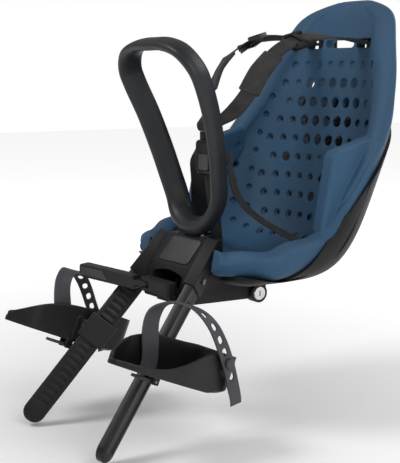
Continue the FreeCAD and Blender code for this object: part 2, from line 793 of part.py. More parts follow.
def console_body():
    """Hard moulding with the dock, the leg sockets and the beam under the seat."""
    corners = [
        (CONSOLE_FRONT_Y, CONSOLE_BOTTOM_Z + CONSOLE_CHIN_RISE, CONSOLE_CHIN_ROUND),
        (CONSOLE_REAR_Y, CONSOLE_BOTTOM_Z, CONSOLE_HEEL_ROUND),
        (CONSOLE_REAR_Y, CONSOLE_SPINE_Z, 0.0),
        (CONSOLE_BACK_Y, CONSOLE_SPINE_Z, 0.0),
        (CONSOLE_BACK_Y, CONSOLE_TOP_Z, CONSOLE_BACK_ROUND),
        (CONSOLE_TOP_Y, CONSOLE_TOP_Z, CONSOLE_BROW_ROUND),
        (CONSOLE_LIP_Y, CONSOLE_LIP_Z, CONSOLE_LIP_ROUND),
        (CONSOLE_LIP_Y - CONSOLE_LIP_SETBACK, CONSOLE_LIP_Z - CONSOLE_LIP_DROP, CONSOLE_LIP_UNDER_ROUND),
        (CONSOLE_FRONT_Y, DOCK_FLOOR_Z + DOCK_SILL, DOCK_SILL_ROUND),
    ]
    body = side_prism(corners, -CONSOLE_HALF_WIDTH, CONSOLE_HALF_WIDTH)
    crest = [e for e in body.Edges if e.BoundBox.XLength < 1e-6 and e.CenterOfMass.y < CONSOLE_BACK_Y - 1.0
             and e.CenterOfMass.z > CONSOLE_LIP_Z + 1.0]
    body = body.makeFillet(CONSOLE_EDGE, crest)
    boss = cylinder(V(CONSOLE_HALF_WIDTH - LOCK_BOSS_ROOT, LOCK_Y, LOCK_Z), V(1, 0, 0), LOCK_BOSS_D,
                    LOCK_FACE_X - CONSOLE_HALF_WIDTH + LOCK_BOSS_ROOT)
    socket = on_leg(smooth_block(leg_block(SOCKET_GAP + SOCKET_WALL, -SOCKET_WALL, SOCKET_LENGTH)))
    body = body.fuse([boss, socket, mirrored(socket)])
    envelope = on_leg(leg_block(SOCKET_GAP, -SOCKET_GAP, 2 * SOCKET_LENGTH))
    barrel_room = cylinder(V(LOCK_FACE_X - LOCK_BARREL_LENGTH, LOCK_Y, LOCK_Z), V(1, 0, 0),
                           LOCK_BARREL_D + 2 * SOCKET_GAP, 2 * LOCK_BARREL_LENGTH)
    screw_holes = [on_leg(leg_screw(at, SOCKET_GAP)) for at in LEG_SCREW_PLACES]
    bolt_holes = [handle_bolt(side * HANDLE_BOLT_X, SCREW_GAP) for side in (-1, 1)]
    recess = cover_plate(COVER_GAP, -COVER_RECESS, 2 * COVER_THICK)
    shell_room = shell_wall(0.0, SHELL_GAP + SHELL_WALL + SEAT_GAP).cut(notch())
    body = body.cut([hull_seat(), shell_room, dock_cavity(), recess, envelope, mirrored(envelope), barrel_room]
                    + screw_holes + [mirrored(hole) for hole in screw_holes] + bolt_holes)
    return body.fuse(dock_rails()).removeSplitter()


def lock_barrel():
    """Ring of the lock, pressed in the console's boss."""
    start = V(LOCK_FACE_X - LOCK_BARREL_LENGTH, LOCK_Y, LOCK_Z)
    body = cylinder(start, V(1, 0, 0), LOCK_BARREL_D, LOCK_BARREL_LENGTH + LOCK_PROUD)
    front = [e for e in body.Edges if abs(e.CenterOfMass.x - LOCK_FACE_X - LOCK_PROUD) < 1e-3
             and e.BoundBox.XLength < 1e-3]
    body = body.makeChamfer(LOCK_PROUD, front)
    room = cylinder(start + V(KEY_SLOT_DEPTH, 0, 0), V(1, 0, 0), LOCK_PLUG_D + 2 * LOCK_RUNNING_GAP,
                    LOCK_BARREL_LENGTH)
    return body.cut(room)


def lock_plug():
    """Turning plug of the lock with its key slot."""
    start = V(LOCK_FACE_X - LOCK_BARREL_LENGTH + KEY_SLOT_DEPTH + LOCK_RUNNING_GAP, LOCK_Y, LOCK_Z)
    length = LOCK_BARREL_LENGTH - KEY_SLOT_DEPTH + PLUG_PROUD
    body = cylinder(start, V(1, 0, 0), LOCK_PLUG_D, length)
    face = start.x + length
    slot = box(face - KEY_SLOT_DEPTH, face + 1.0, LOCK_Y - KEY_SLOT_WIDTH / 2, LOCK_Y + KEY_SLOT_WIDTH / 2,
               LOCK_Z - KEY_SLOT_LENGTH / 2, LOCK_Z + KEY_SLOT_LENGTH / 2)
    return body.cut(slot)


def handle_sweep(grow):
    """Closed loop of flattened oval section that leans forward going up."""
    lean = math.radians(HANDLE_LEAN)
    foot = V(0, HANDLE_FOOT_Y, HANDLE_FOOT_Z)
    up = V(0, -math.sin(lean), math.cos(lean))
    normal = V(1, 0, 0).cross(up)
    corners = [(-HANDLE_FOOT_HALF, 0.0, HANDLE_FOOT_RADIUS), (HANDLE_FOOT_HALF, 0.0, HANDLE_FOOT_RADIUS),
               (HANDLE_TOP_HALF, HANDLE_HEIGHT, HANDLE_TOP_RADIUS),
               (-HANDLE_TOP_HALF, HANDLE_HEIGHT, HANDLE_TOP_RADIUS)]
    path = rounded_wire(corners, lambda p: foot + V(1, 0, 0) * p.x + up * p.y)
    first = path.Edges[0]
    start = first.valueAt(first.FirstParameter)
    along = unit(first.tangentAt(first.FirstParameter))
    oval = Part.Ellipse(V(0, 0, 0), HANDLE_DEEP / 2 + grow, HANDLE_THICK / 2 + grow).toShape()
    section = framed(Part.Wire(oval), start, normal, along.cross(normal), along)
    return path.makePipeShell([section], True, False)


def handle_bolt(x, gap):
    """Bolt from the dock's roof up into the handle."""
    y = HANDLE_FOOT_Y - HANDLE_BOLT_SETBACK
    head_z = DOCK_SIDE_Z - gap
    top = HANDLE_FOOT_Z - HANDLE_THICK / 2 + HANDLE_BOLT_BITE + gap
    head_top = DOCK_ARCH_Z + HANDLE_BOLT_HEAD_H + gap
    head = cylinder(V(x, y, DOCK_ARCH_Z - gap), V(0, 0, 1), HANDLE_BOLT_HEAD_D + 2 * gap,
                    head_top - DOCK_ARCH_Z + gap)
    if gap > 0:
        head = cylinder(V(x, y, head_z), V(0, 0, 1), HANDLE_BOLT_HEAD_D + 2 * gap, head_top - head_z)
    shank = cylinder(V(x, y, DOCK_ARCH_Z), V(0, 0, 1), HANDLE_BOLT_D + 2 * gap, top - DOCK_ARCH_Z)
    return head.fuse(shank)


def handle_collar():
    """Saddle between the console's top and the handle."""
    body = box(-COLLAR_HALF_WIDTH, COLLAR_HALF_WIDTH, CONSOLE_TOP_Y + COLLAR_SETBACK, CONSOLE_BACK_Y,
               CONSOLE_TOP_Z, CONSOLE_TOP_Z + COLLAR_HEIGHT)
    upright = [e for e in body.Edges if e.BoundBox.ZLength > COLLAR_HEIGHT / 2]
    body = body.makeFillet(COLLAR_CORNER, upright)
    return body.cut([handle_sweep(SEAT_GAP)] + [handle_bolt(s * HANDLE_BOLT_X, SCREW_GAP) for s in (-1, 1)])


# Legs

def leg_axes():
    """Wide direction, inward face normal and run of the child's left leg."""
    along = unit(LEG_FOOT - LEG_TOP)
    outboard = unit(V(1, 0, 0) - along * along.x)
    front = along.cross(outboard)
    turn = math.radians(LEG_TURN)
    inward = outboard * -math.cos(turn) + front * math.sin(turn)
    wide = outboard * math.sin(turn) + front * math.cos(turn)
    return wide, inward, along


def on_leg(shape):
    """Put a shape modelled along the leg at its place."""
    return framed(shape, LEG_TOP, *leg_axes())


def leg_block(grow, z0, z1):
    """Block round the leg, grown on its four long sides."""
    half_wide = LEG_WIDE / 2 + grow
    half_thick = LEG_THICK / 2 + grow
    return box(-half_wide, half_wide, -half_thick, half_thick, z0, z1)


def smooth_block(block):
    """Round a block's edges along the leg."""
    return block.makeFillet(SOCKET_EDGE, [e for e in block.Edges if e.BoundBox.ZLength > SOCKET_EDGE])


def leg():
    """Flat bar with a rounded foot and a ladder of pockets on its inward face."""
    length = (LEG_FOOT - LEG_TOP).Length
    half = LEG_WIDE / 2
    corners = [(-half, 0.0, LEG_TOP_RADIUS), (half, 0.0, LEG_TOP_RADIUS), (half, length, LEG_END_RADIUS),
               (-half, length, LEG_END_RADIUS)]
    bar = plate(corners, lambda p: V(p.x, -LEG_THICK / 2, p.y), V(0, LEG_THICK, 0))
    rims = [e for e in bar.Edges if e.BoundBox.YLength < 1e-6]
    bar = bar.makeChamfer(LEG_BEVEL, rims)
    pockets = []
    z = LADDER_START
    while z + LADDER_POCKET < length - LADDER_END_MARGIN:
        pockets.append(box(-LADDER_WIDTH / 2, LADDER_WIDTH / 2, LEG_THICK / 2 - LADDER_DEPTH,
                           LEG_THICK, z, z + LADDER_POCKET))
        z += LADDER_PITCH
    holes = [leg_screw(at, SOCKET_GAP) for at in LEG_SCREW_PLACES]
    return on_leg(bar.cut(pockets + holes))


def leg_screw(at, gap):
    """Screw through the socket into the leg, along the leg's own axes."""
    face = -(LEG_THICK / 2 + SOCKET_GAP + SOCKET_WALL)
    shank = cylinder(V(0, face, at), V(0, 1, 0), LEG_SCREW_D + 2 * gap,
                     SOCKET_WALL + SOCKET_GAP + LEG_SCREW_BITE + gap)
    head = cylinder(V(0, face - LEG_SCREW_HEAD_H, at), V(0, 1, 0), LEG_SCREW_HEAD_D, LEG_SCREW_HEAD_H)
    return shank.fuse(head) if gap == 0 else shank


# Foot cups, latches and straps

def cup_axes():
    """Toe, outboard and upward directions of the child's left cup."""
    toe = unit(CUP_TOE - CUP_HEEL)
    out = unit(V(1, 0, 0) - toe * toe.x)
    return toe, out, toe.cross(out)


def on_cup(shape):
    """Put a shape modelled on the cup's sole at its place."""
    return framed(shape, CUP_HEEL, *cup_axes())


def cup_outline(inset):
    """Plan of the cup, narrow at the heel and pointed at the toe."""
    length = (CUP_TOE - CUP_HEEL).Length - inset
    half = CUP_HALF_WIDTH - inset
    shoulder = half * CUP_SHOULDER_WIDTH
    return [(inset, -half + CUP_HEEL_INSET, CUP_HEEL_ROUND), (length * CUP_WIDEST, -half, CUP_SIDE_ROUND),
            (length * CUP_SHOULDER, -shoulder, CUP_SHOULDER_ROUND), (length, 0.0, CUP_TOE_ROUND),
            (length * CUP_SHOULDER, shoulder, CUP_SHOULDER_ROUND),
            (length * CUP_WIDEST, half, CUP_SIDE_ROUND),
            (inset, half - CUP_HEEL_INSET, CUP_HEEL_ROUND)]


def rim_cut(heights, b0, b1):
    """What lies above the cup's rim on one side; heights are (share of length, height)."""
    length = (CUP_TOE - CUP_HEEL).Length
    curve = Part.BSplineCurve()
    points = [V(share * length, b0, height) for share, height in heights]
    curve.interpolate(points)
    high = 2 * CUP_HEEL_HEIGHT
    ends = [V(points[-1].x, b0, high), V(points[0].x, b0, high)]
    edges = [curve.toShape(), Part.makeLine(points[-1], ends[0]), Part.makeLine(ends[0], ends[1]),
             Part.makeLine(ends[1], points[0])]
    return Part.Face(Part.Wire(edges)).extrude(V(0, b1 - b0, 0))


def footrest():
    """Foot cup with the clip that slides on the leg and lugs for its latch."""
    flat = lambda p: V(p.x, p.y, 0)
    cup = plate(cup_outline(0.0), flat, V(0, 0, CUP_HEEL_HEIGHT))
    outer = ((-0.05, CUP_HEEL_HEIGHT + 1), (0.14, CUP_HEEL_HEIGHT), (0.27, 0.94 * CUP_HEEL_HEIGHT),
             (0.42, 0.63 * CUP_HEEL_HEIGHT), (0.6, CUP_DIP_HEIGHT), (0.8, 0.6 * CUP_DIP_HEIGHT),
             (1.02, CUP_TOE_HEIGHT))
    inner = ((-0.05, CUP_HEEL_HEIGHT + 1), (0.14, CUP_HEEL_HEIGHT), (0.3, CUP_INNER_HEIGHT + 1),
             (0.48, CUP_INNER_HEIGHT), (0.62, 0.92 * CUP_INNER_HEIGHT), (0.76, 0.74 * CUP_INNER_HEIGHT),
             (0.88, 0.46 * CUP_INNER_HEIGHT), (1.02, CUP_TOE_HEIGHT))
    cup = cup.cut([rim_cut(outer, 0.0, 2 * CUP_HALF_WIDTH), rim_cut(inner, 0.0, -2 * CUP_HALF_WIDTH)])
    web = box(CLIP_WEB_START, CLIP_WEB_END, -CUP_HALF_WIDTH - CLIP_WEB_REACH, -CUP_HALF_WIDTH + CLIP_WEB_ROOT,
              CUP_SOLE, CUP_INNER_HEIGHT - CLIP_WEB_DROP)
    lugs = []
    for side in (-1, 1):
        inner_b = LATCH_CENTRE_B + side * (LATCH_WIDTH / 2 + LATCH_SIDE_GAP)
        outer_b = inner_b + side * LUG_THICK
        lugs.append(box(LATCH_PIVOT_A - LUG_HALF_LENGTH, LATCH_PIVOT_A + LUG_HALF_LENGTH,
                        min(inner_b, outer_b), max(inner_b, outer_b), LATCH_PIVOT_C - LUG_DROP, CUP_SOLE / 4))
    cavity = plate(cup_outline(CUP_WALL), lambda p: V(p.x, p.y, CUP_SOLE), V(0, 0, 2 * CUP_HEEL_HEIGHT))
    ring = leg_block(CLIP_GAP + CLIP_WALL, CLIP_AT - CLIP_LENGTH / 2, CLIP_AT + CLIP_LENGTH / 2)
    clip = on_leg(smooth_block(ring))
    body = on_cup(cup).fuse([clip, on_cup(web)] + [on_cup(lug) for lug in lugs])
    run = on_leg(leg_block(CLIP_GAP, 0.0, 2 * CLIP_AT))
    pin_holes = on_cup(latch_pin(LATCH_PIN_GAP))
    peg_hole = peg(SOCKET_GAP)
    return body.cut([on_cup(cavity), run, pin_holes, peg_hole]).removeSplitter()


def latch_pin(gap):
    """Pin of the clip's latch, in the cup's own axes."""
    reach = LATCH_WIDTH / 2 + LATCH_SIDE_GAP + LUG_THICK
    return cylinder(V(LATCH_PIVOT_A, LATCH_CENTRE_B - reach, LATCH_PIVOT_C), V(0, 1, 0),
                    LATCH_PIN_D + 2 * gap, 2 * reach)


def latch():
    """Pull tab under the sole that frees the clip."""
    half = LATCH_WIDTH / 2
    low = LATCH_PIVOT_C - LATCH_THICK / 2
    corners = [(LATCH_PIVOT_A - LATCH_TAIL, LATCH_CENTRE_B - half, LATCH_TAIL_ROUND),
               (LATCH_PIVOT_A + LATCH_REACH, LATCH_CENTRE_B - half, LATCH_TIP_ROUND),
               (LATCH_PIVOT_A + LATCH_REACH, LATCH_CENTRE_B + half, LATCH_TIP_ROUND),
               (LATCH_PIVOT_A - LATCH_TAIL, LATCH_CENTRE_B + half, LATCH_TAIL_ROUND)]
    tab = plate(corners, lambda p: V(p.x, p.y, low), V(0, 0, LATCH_THICK))
    hub = cylinder(V(LATCH_PIVOT_A, LATCH_CENTRE_B - half, LATCH_PIVOT_C), V(0, 1, 0),
                   2 * LATCH_PIN_D, LATCH_WIDTH)
    return on_cup(tab.fuse(hub).cut(latch_pin(LATCH_PIN_GAP)))


def strap_route():
    """Foot strap on the cup: up from the sole, over the instep, down outside the heel."""
    return [(V(*row[:3]), V(*row[3:6])) for row in STRAP_STATIONS]


def strap_hole(stations, index, long, wide):
    """Oval hole through the strap at one of its stations."""
    centre, across = stations[index]
    along = unit(stations[index + 1][0] - stations[index - 1][0])
    side = unit(across - along * across.dot(along))
    normal = side.cross(along)
    half = (long - wide) / 2
    corner = wide * 0.49
    flat = plate([(-half - wide / 2, -wide / 2, corner), (half + wide / 2, -wide / 2, corner),
                  (half + wide / 2, wide / 2, corner), (-half - wide / 2, wide / 2, corner)],
                 lambda p: V(p.x, p.y, -2 * STRAP_THICK), V(0, 0, 4 * STRAP_THICK))
    return framed(flat, centre, along, normal.cross(along), normal)


def peg(gap):
    """Button on the cup's outer wall that the strap hooks on."""
    centre = V(*PEG_PLACE)
    start = centre - V(0, centre.y - CUP_HALF_WIDTH + CUP_WALL + 1.0, 0)
    stem = cylinder(start, V(0, 1, 0), PEG_STEM_D + 2 * gap,
                    centre.y + STRAP_THICK - start.y)
    if gap > 0:
        return on_cup(stem)
    head = cylinder(centre + V(0, STRAP_THICK, 0), V(0, 1, 0), PEG_HEAD_D, PEG_HEAD_H)
    return on_cup(stem.fuse(head))


def foot_strap():
    """Rubber strap with a row of oval holes, one of them on the peg."""
    stations = strap_route()
    strap = tapered_band(stations, [row[6] for row in STRAP_STATIONS], STRAP_THICK)
    first = PEG_STATION - STRAP_HOLES_BEFORE_PEG
    last = PEG_STATION + STRAP_HOLES_AFTER_PEG
    holes = [strap_hole(stations, i, STRAP_HOLE_LONG, STRAP_HOLE_WIDE) for i in range(first, last + 1)]
    return on_cup(strap.cut(holes))


# Release lever

def lever_axes():
    """Run, cross direction and up direction of the lever in plan."""
    run = unit(V(LEVER_TIP.x - LEVER_PIVOT.x, LEVER_TIP.y - LEVER_PIVOT.y, 0))
    return run, V(0, 0, 1).cross(run), V(0, 0, 1)


def lever_pin(gap):
    """Upright pin of the lever."""
    return cylinder(LEVER_PIVOT, V(0, 0, 1), LEVER_PIN_D + 2 * gap, LEVER_HEIGHT)


def release_lever():
    """Lever that swings forward to free the seat from its bracket."""
    length = math.hypot(LEVER_TIP.x - LEVER_PIVOT.x, LEVER_TIP.y - LEVER_PIVOT.y)
    rise = LEVER_TIP.z - LEVER_PIVOT.z
    half = LEVER_DEEP / 2
    tongue_low = LEVER_EAR + LEVER_EAR_GAP
    tongue_high = LEVER_HEIGHT - LEVER_EAR - LEVER_EAR_GAP
    side = plate([(-half, tongue_low, 0.0), (LEVER_KNUCKLE, tongue_low, 0.0),
                  (LEVER_KNUCKLE, 0.0, LEVER_NECK_ROUND),
                  (length, rise, LEVER_TIP_ROUND), (length, rise + LEVER_HEIGHT, LEVER_TIP_ROUND),
                  (LEVER_KNUCKLE, LEVER_HEIGHT, LEVER_NECK_ROUND), (LEVER_KNUCKLE, tongue_high, 0.0),
                  (-half, tongue_high, 0.0)],
                 lambda p: V(p.x, -half, p.y), V(0, LEVER_DEEP, 0))
    low = -LEVER_HEIGHT
    end = half - LEVER_END_SLACK
    plan = plate([(-half, -half, end), (length, -half, LEVER_CORNER), (length, half, LEVER_CORNER),
                  (-half, half, end)],
                 lambda p: V(p.x, p.y, low), V(0, 0, 4 * LEVER_HEIGHT))
    solid = framed(side.common(plan), LEVER_PIVOT, *lever_axes())
    return solid.cut(lever_pin(LEVER_PIN_GAP))


def lever_base():
    """Fixed clevis on the console's front that carries the lever's pin."""
    half = LEVER_DEEP / 2
    low = LEVER_PIVOT.z
    end = half - LEVER_END_SLACK
    plan = [(LEVER_PIVOT.x - half, LEVER_PIVOT.y - half, end),
            (LEVER_BASE_RIGHT_X, LEVER_PIVOT.y - half, LEVER_CORNER),
            (LEVER_BASE_RIGHT_X, LEVER_PIVOT.y + half, LEVER_CORNER),
            (LEVER_PIVOT.x - half, LEVER_PIVOT.y + half, end)]
    bar = plate(plan, lambda p: V(p.x, p.y, low), V(0, 0, LEVER_HEIGHT))
    swing = cylinder(LEVER_PIVOT + V(0, 0, LEVER_EAR), V(0, 0, 1), 2 * LEVER_KNUCKLE,
                     LEVER_HEIGHT - 2 * LEVER_EAR)
    foot = box(LEVER_FOOT_LEFT_X, LEVER_BASE_RIGHT_X - LEVER_FOOT_INSET, LEVER_PIVOT.y, CONSOLE_FRONT_Y,
               CONSOLE_BOTTOM_Z + LEVER_FOOT_RISE, DOCK_FLOOR_Z + LEVER_FOOT_TOP)
    return bar.cut(swing).fuse(foot).cut(lever_pin(LEVER_PIN_GAP)).removeSplitter()


# Buckle

def buckle_body():
    """Buckle housing with pockets for its button and the two tongues."""
    half_x = BUCKLE_WIDTH / 2
    half_z = BUCKLE_HEIGHT / 2
    body = plate([(-half_x, BUCKLE_Z - half_z, BUCKLE_LOWER_ROUND),
                  (half_x, BUCKLE_Z - half_z, BUCKLE_LOWER_ROUND),
                  (half_x, BUCKLE_Z + half_z, BUCKLE_UPPER_ROUND),
                  (-half_x, BUCKLE_Z + half_z, BUCKLE_UPPER_ROUND)],
                 lambda p: V(p.x, BUCKLE_Y - BUCKLE_DEEP / 2, p.y), V(0, BUCKLE_DEEP, 0))
    rims = [e for e in body.Edges if e.BoundBox.YLength < 1e-6]
    body = body.makeFillet(BUCKLE_EDGE, rims)
    room = BUTTON_SIZE / 2 + BUTTON_GAP
    front = BUCKLE_Y - BUCKLE_DEEP / 2
    button_z = BUCKLE_Z - BUCKLE_HEIGHT / 8
    pocket = box(-room, room, front - 1.0, front - BUTTON_PROUD + BUTTON_DEEP + BUTTON_TRAVEL + BUTTON_GAP,
                 button_z - room, button_z + room)
    return body.cut([pocket, tongue(SEAT_GAP), mirrored(tongue(SEAT_GAP))])


def buckle_button():
    """Square push button of the buckle."""
    half = BUTTON_SIZE / 2
    front = BUCKLE_Y - BUCKLE_DEEP / 2 - BUTTON_PROUD
    button_z = BUCKLE_Z - BUCKLE_HEIGHT / 8
    low = button_z - half
    high = button_z + half
    body = plate([(-half, low, BUTTON_CORNER), (half, low, BUTTON_CORNER), (half, high, BUTTON_CORNER),
                  (-half, high, BUTTON_CORNER)],
                 lambda p: V(p.x, front, p.y), V(0, BUTTON_DEEP, 0))
    rims = [e for e in body.Edges if e.BoundBox.YLength < 1e-6 and e.CenterOfMass.y < front + 0.1]
    return body.makeFillet(BUTTON_EDGE, rims)


def tongue(grow):
    """Flat tongue on the end of the left shoulder strap."""
    top = tongue_top()
    half = TONGUE_WIDTH / 2 + grow
    return box(TONGUE_X - half, TONGUE_X + half, BUCKLE_Y - TONGUE_THICK / 2 - grow,
               BUCKLE_Y + TONGUE_THICK / 2 + grow, top - TONGUE_LENGTH - grow, top)


def main():
    """Build every piece and write its STEP file."""
    os.makedirs("parts", exist_ok=True)
    pieces = {}
    bucket = Part.makeLoft([liner_wire(row) for row in BUCKET_SECTIONS], True, False)
    inside = bucket.Faces[0].Surface
    outside = bucket.Faces[2].Surface
    rear = surface_y(outside, STRAP_SLOT_X - ANCHOR_WIDTH / 2, SLOT_Z + ANCHOR_HEIGHT / 2)
    screws = liner_screw_frames(inside)
    screw_holes = [liner_screw_hole(*frame) for frame in screws]
    waist = band(waist_route(), WEB_WIDTH, WEB_THICK)
    crotch = band(crotch_route(), WEB_WIDTH, WEB_THICK)
    waist_room = band(waist_route(), WEB_WIDTH + 2 * WEB_GAP, WEB_THICK + 2 * WEB_GAP)
    crotch_room = band(crotch_route(), WEB_WIDTH + 2 * WEB_GAP, WEB_THICK + 2 * WEB_GAP)
    tools = [notch(), waist_room, mirrored(waist_room), crotch_room]
    tools += headrest_slots() + vents(inside) + screw_holes
    arm = wing()
    shell = shell_wall(SHELL_GAP, SHELL_GAP + SHELL_WALL)
    shell_room = shell_wall(SHELL_GAP / 3, SHELL_GAP + 3 * SHELL_WALL)
    pieces["seat_liner"] = bucket.cut(tools).fuse([arm, mirrored(arm)]).cut(shell_room)
    pieces["seat_shell"] = shell.cut([notch()] + screw_holes)
    pieces["liner_screws"] = Part.makeCompound([liner_screw(*frame) for frame in screws])

    anchor = box(STRAP_SLOT_X - ANCHOR_WIDTH / 2, STRAP_SLOT_X + ANCHOR_WIDTH / 2, rear + SEAT_GAP,
                 rear + SEAT_GAP + ANCHOR_THICK, SLOT_Z - ANCHOR_HEIGHT / 2, SLOT_Z + ANCHOR_HEIGHT / 2)
    pieces["strap_anchors"] = Part.makeCompound([anchor, mirrored(anchor)])
    route = shoulder_route(rear)
    web = band(route, WEB_WIDTH, WEB_THICK)
    web_room = band(route, WEB_WIDTH + 2 * WEB_GAP, WEB_THICK + 2 * WEB_GAP)
    sleeve = band(route[SLEEVE_STATIONS], SLEEVE_WIDTH, SLEEVE_THICK).cut(web_room)
    slider = band(route[SLIDER_STATIONS], SLIDER_WIDTH, SLIDER_THICK).cut(web_room)
    for side, place in (("left", lambda shape: shape), ("right", mirrored)):
        pieces[side + "_shoulder_strap"] = place(web)
        pieces[side + "_shoulder_sleeve"] = place(sleeve)
        pieces[side + "_strap_slider"] = place(slider)
        pieces[side + "_waist_strap"] = place(waist)
        pieces[side + "_buckle_tongue"] = place(tongue(0.0))
    pieces["crotch_strap"] = crotch
    pieces["buckle_body"] = buckle_body()
    pieces["buckle_button"] = buckle_button()

    pieces["console_body"] = console_body()
    pieces["console_cover"] = cover_plate(0.0, -COVER_RECESS, COVER_THICK)
    pieces["lock_barrel"] = lock_barrel()
    pieces["lock_plug"] = lock_plug()
    bolts = [handle_bolt(side * HANDLE_BOLT_X, 0.0) for side in (-1, 1)]
    bolt_rooms = [handle_bolt(side * HANDLE_BOLT_X, SCREW_GAP) for side in (-1, 1)]
    pieces["handle_loop"] = handle_sweep(0.0).cut(bolt_rooms)
    pieces["handle_collar"] = handle_collar()
    pieces["handle_bolts"] = Part.makeCompound(bolts)
    pieces["lever_base"] = lever_base()
    pieces["release_lever"] = release_lever()
    pieces["lever_pin"] = lever_pin(0.0)

    bar = leg()
    fixings = [on_leg(leg_screw(at, 0.0)) for at in LEG_SCREW_PLACES]
    pieces["leg_screws"] = Part.makeCompound(fixings + [mirrored(screw) for screw in fixings])
    cup = footrest()
    tab = latch()
    pin = on_cup(latch_pin(0.0))
    strap = foot_strap()
    button = peg(0.0)
    for side, place in (("left", lambda shape: shape), ("right", mirrored)):
        pieces[side + "_leg"] = place(bar)
        pieces[side + "_footrest"] = place(cup)
        pieces[side + "_footrest_latch"] = place(tab)
        pieces[side + "_latch_pin"] = place(pin)
        pieces[side + "_foot_strap"] = place(strap)
        pieces[side + "_strap_peg"] = place(button)
    for name, shape in pieces.items():
        shape.exportStep("parts/" + name + ".step")


main()
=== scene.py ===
"""Dressed model of a front child bicycle seat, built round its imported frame."""

import json
import logging
import math
from dataclasses import dataclass
from enum import Enum
from typing import Callable, Dict, List, Sequence, Tuple

import bpy
from mathutils import Matrix, Vector, kdtree


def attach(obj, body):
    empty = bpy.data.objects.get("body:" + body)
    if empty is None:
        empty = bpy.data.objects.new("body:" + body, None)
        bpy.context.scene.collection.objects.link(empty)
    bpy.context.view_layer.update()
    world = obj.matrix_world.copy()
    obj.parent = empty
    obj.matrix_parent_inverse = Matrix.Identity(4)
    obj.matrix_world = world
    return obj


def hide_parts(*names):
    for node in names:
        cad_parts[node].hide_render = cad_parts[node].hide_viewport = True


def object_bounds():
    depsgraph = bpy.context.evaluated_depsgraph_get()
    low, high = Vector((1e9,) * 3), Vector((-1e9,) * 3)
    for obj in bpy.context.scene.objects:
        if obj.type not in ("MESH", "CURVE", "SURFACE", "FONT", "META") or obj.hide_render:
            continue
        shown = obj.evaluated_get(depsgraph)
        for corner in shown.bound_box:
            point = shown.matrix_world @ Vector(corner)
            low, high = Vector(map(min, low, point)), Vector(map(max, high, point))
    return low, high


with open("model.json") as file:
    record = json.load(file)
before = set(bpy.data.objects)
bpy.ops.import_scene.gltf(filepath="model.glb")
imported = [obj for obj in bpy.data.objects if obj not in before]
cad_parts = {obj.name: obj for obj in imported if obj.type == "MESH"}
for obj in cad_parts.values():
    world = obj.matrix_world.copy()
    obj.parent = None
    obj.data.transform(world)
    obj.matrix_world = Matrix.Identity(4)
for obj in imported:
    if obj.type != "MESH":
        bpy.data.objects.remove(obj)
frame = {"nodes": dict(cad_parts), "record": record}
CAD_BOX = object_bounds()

LOG = logging.getLogger("child_seat")
Colour = Tuple[float, float, float]
Station = Tuple[Tuple[float, float, float], Tuple[float, float, float]]
MM = 0.001


class Pattern(Enum):
    """Kinds of surface detail."""

    FOAM = "foam"
    GRAIN = "grain"
    RUBBER = "rubber"
    WEAVE = "weave"
    METAL = "metal"


class Graph:
    """Small helper that adds and links the nodes of one material."""

    def __init__(self, name: str) -> None:
        """Start a material with an empty principled shader.

        Args:
            name: Name of the material.
        """
        self.material = bpy.data.materials.new(name)
        self.material.use_nodes = True
        self.tree = self.material.node_tree
        self.shader = self.tree.nodes["Principled BSDF"]

    def add(self, kind: str, **values: object) -> bpy.types.Node:
        """Add a node and set its attributes or input defaults.

        Args:
            kind: Type name of the node.
            values: Attribute values, or input values by socket name with _ for a space.

        Returns:
            The new node.
        """
        node = self.tree.nodes.new(kind)
        for key, value in values.items():
            if hasattr(node, key):
                setattr(node, key, value)
            else:
                node.inputs[key.replace("_", " ")].default_value = value
        return node

    def link(self, source: bpy.types.NodeSocket, target: bpy.types.NodeSocket) -> None:
        """Link two sockets."""
        self.tree.links.new(source, target)

    def noise(self, coords: bpy.types.NodeSocket, scale: float, detail: float) -> bpy.types.NodeSocket:
        """Add noise on the given coordinates.

        Args:
            coords: Coordinates that the noise reads.
            scale: Noise cells to a metre.
            detail: Octaves of detail.

        Returns:
            The noise's grey output.
        """
        node = self.add("ShaderNodeTexNoise", Scale=scale, Detail=detail)
        self.link(coords, node.inputs["Vector"])
        return node.outputs["Fac"]

    def ramp(self, value: bpy.types.NodeSocket, low: float, high: float,
             first: Colour, second: Colour) -> bpy.types.NodeSocket:
        """Turn a grey value into a colour between two stops.

        Args:
            value: Grey input.
            low: Place of the first colour.
            high: Place of the second colour.
            first: Colour at the low stop.
            second: Colour at the high stop.

        Returns:
            The colour output.
        """
        node = self.add("ShaderNodeValToRGB")
        stops = node.color_ramp.elements
        stops[0].position = low
        stops[1].position = high
        stops[0].color = (*first, 1.0)
        stops[1].color = (*second, 1.0)
        self.link(value, node.inputs["Fac"])
        return node.outputs["Color"]

    def spread(self, value: bpy.types.NodeSocket, low: float, high: float) -> bpy.types.NodeSocket:
        """Stretch a grey value over a range.

        Args:
            value: Grey input.
            low: Output at 0.3.
            high: Output at 0.7.

        Returns:
            The stretched value.
        """
        node = self.add("ShaderNodeMapRange")
        node.inputs["From Min"].default_value = 0.3
        node.inputs["From Max"].default_value = 0.7
        node.inputs["To Min"].default_value = low
        node.inputs["To Max"].default_value = high
        self.link(value, node.inputs["Value"])
        return node.outputs["Result"]

    def bump(self, height: bpy.types.NodeSocket, strength: float, distance: float,
             under: bpy.types.NodeSocket = None) -> bpy.types.NodeSocket:
        """Add a bump on a height.

        Args:
            height: Grey height.
            strength: Share of the bump that shows.
            distance: Depth of the bump in metres.
            under: Normal of a coarser bump below this one.

        Returns:
            The bumped normal.
        """
        node = self.add("ShaderNodeBump", Strength=strength, Distance=distance)
        self.link(height, node.inputs["Height"])
        if under is not None:
            self.link(under, node.inputs["Normal"])
        return node.outputs["Normal"]


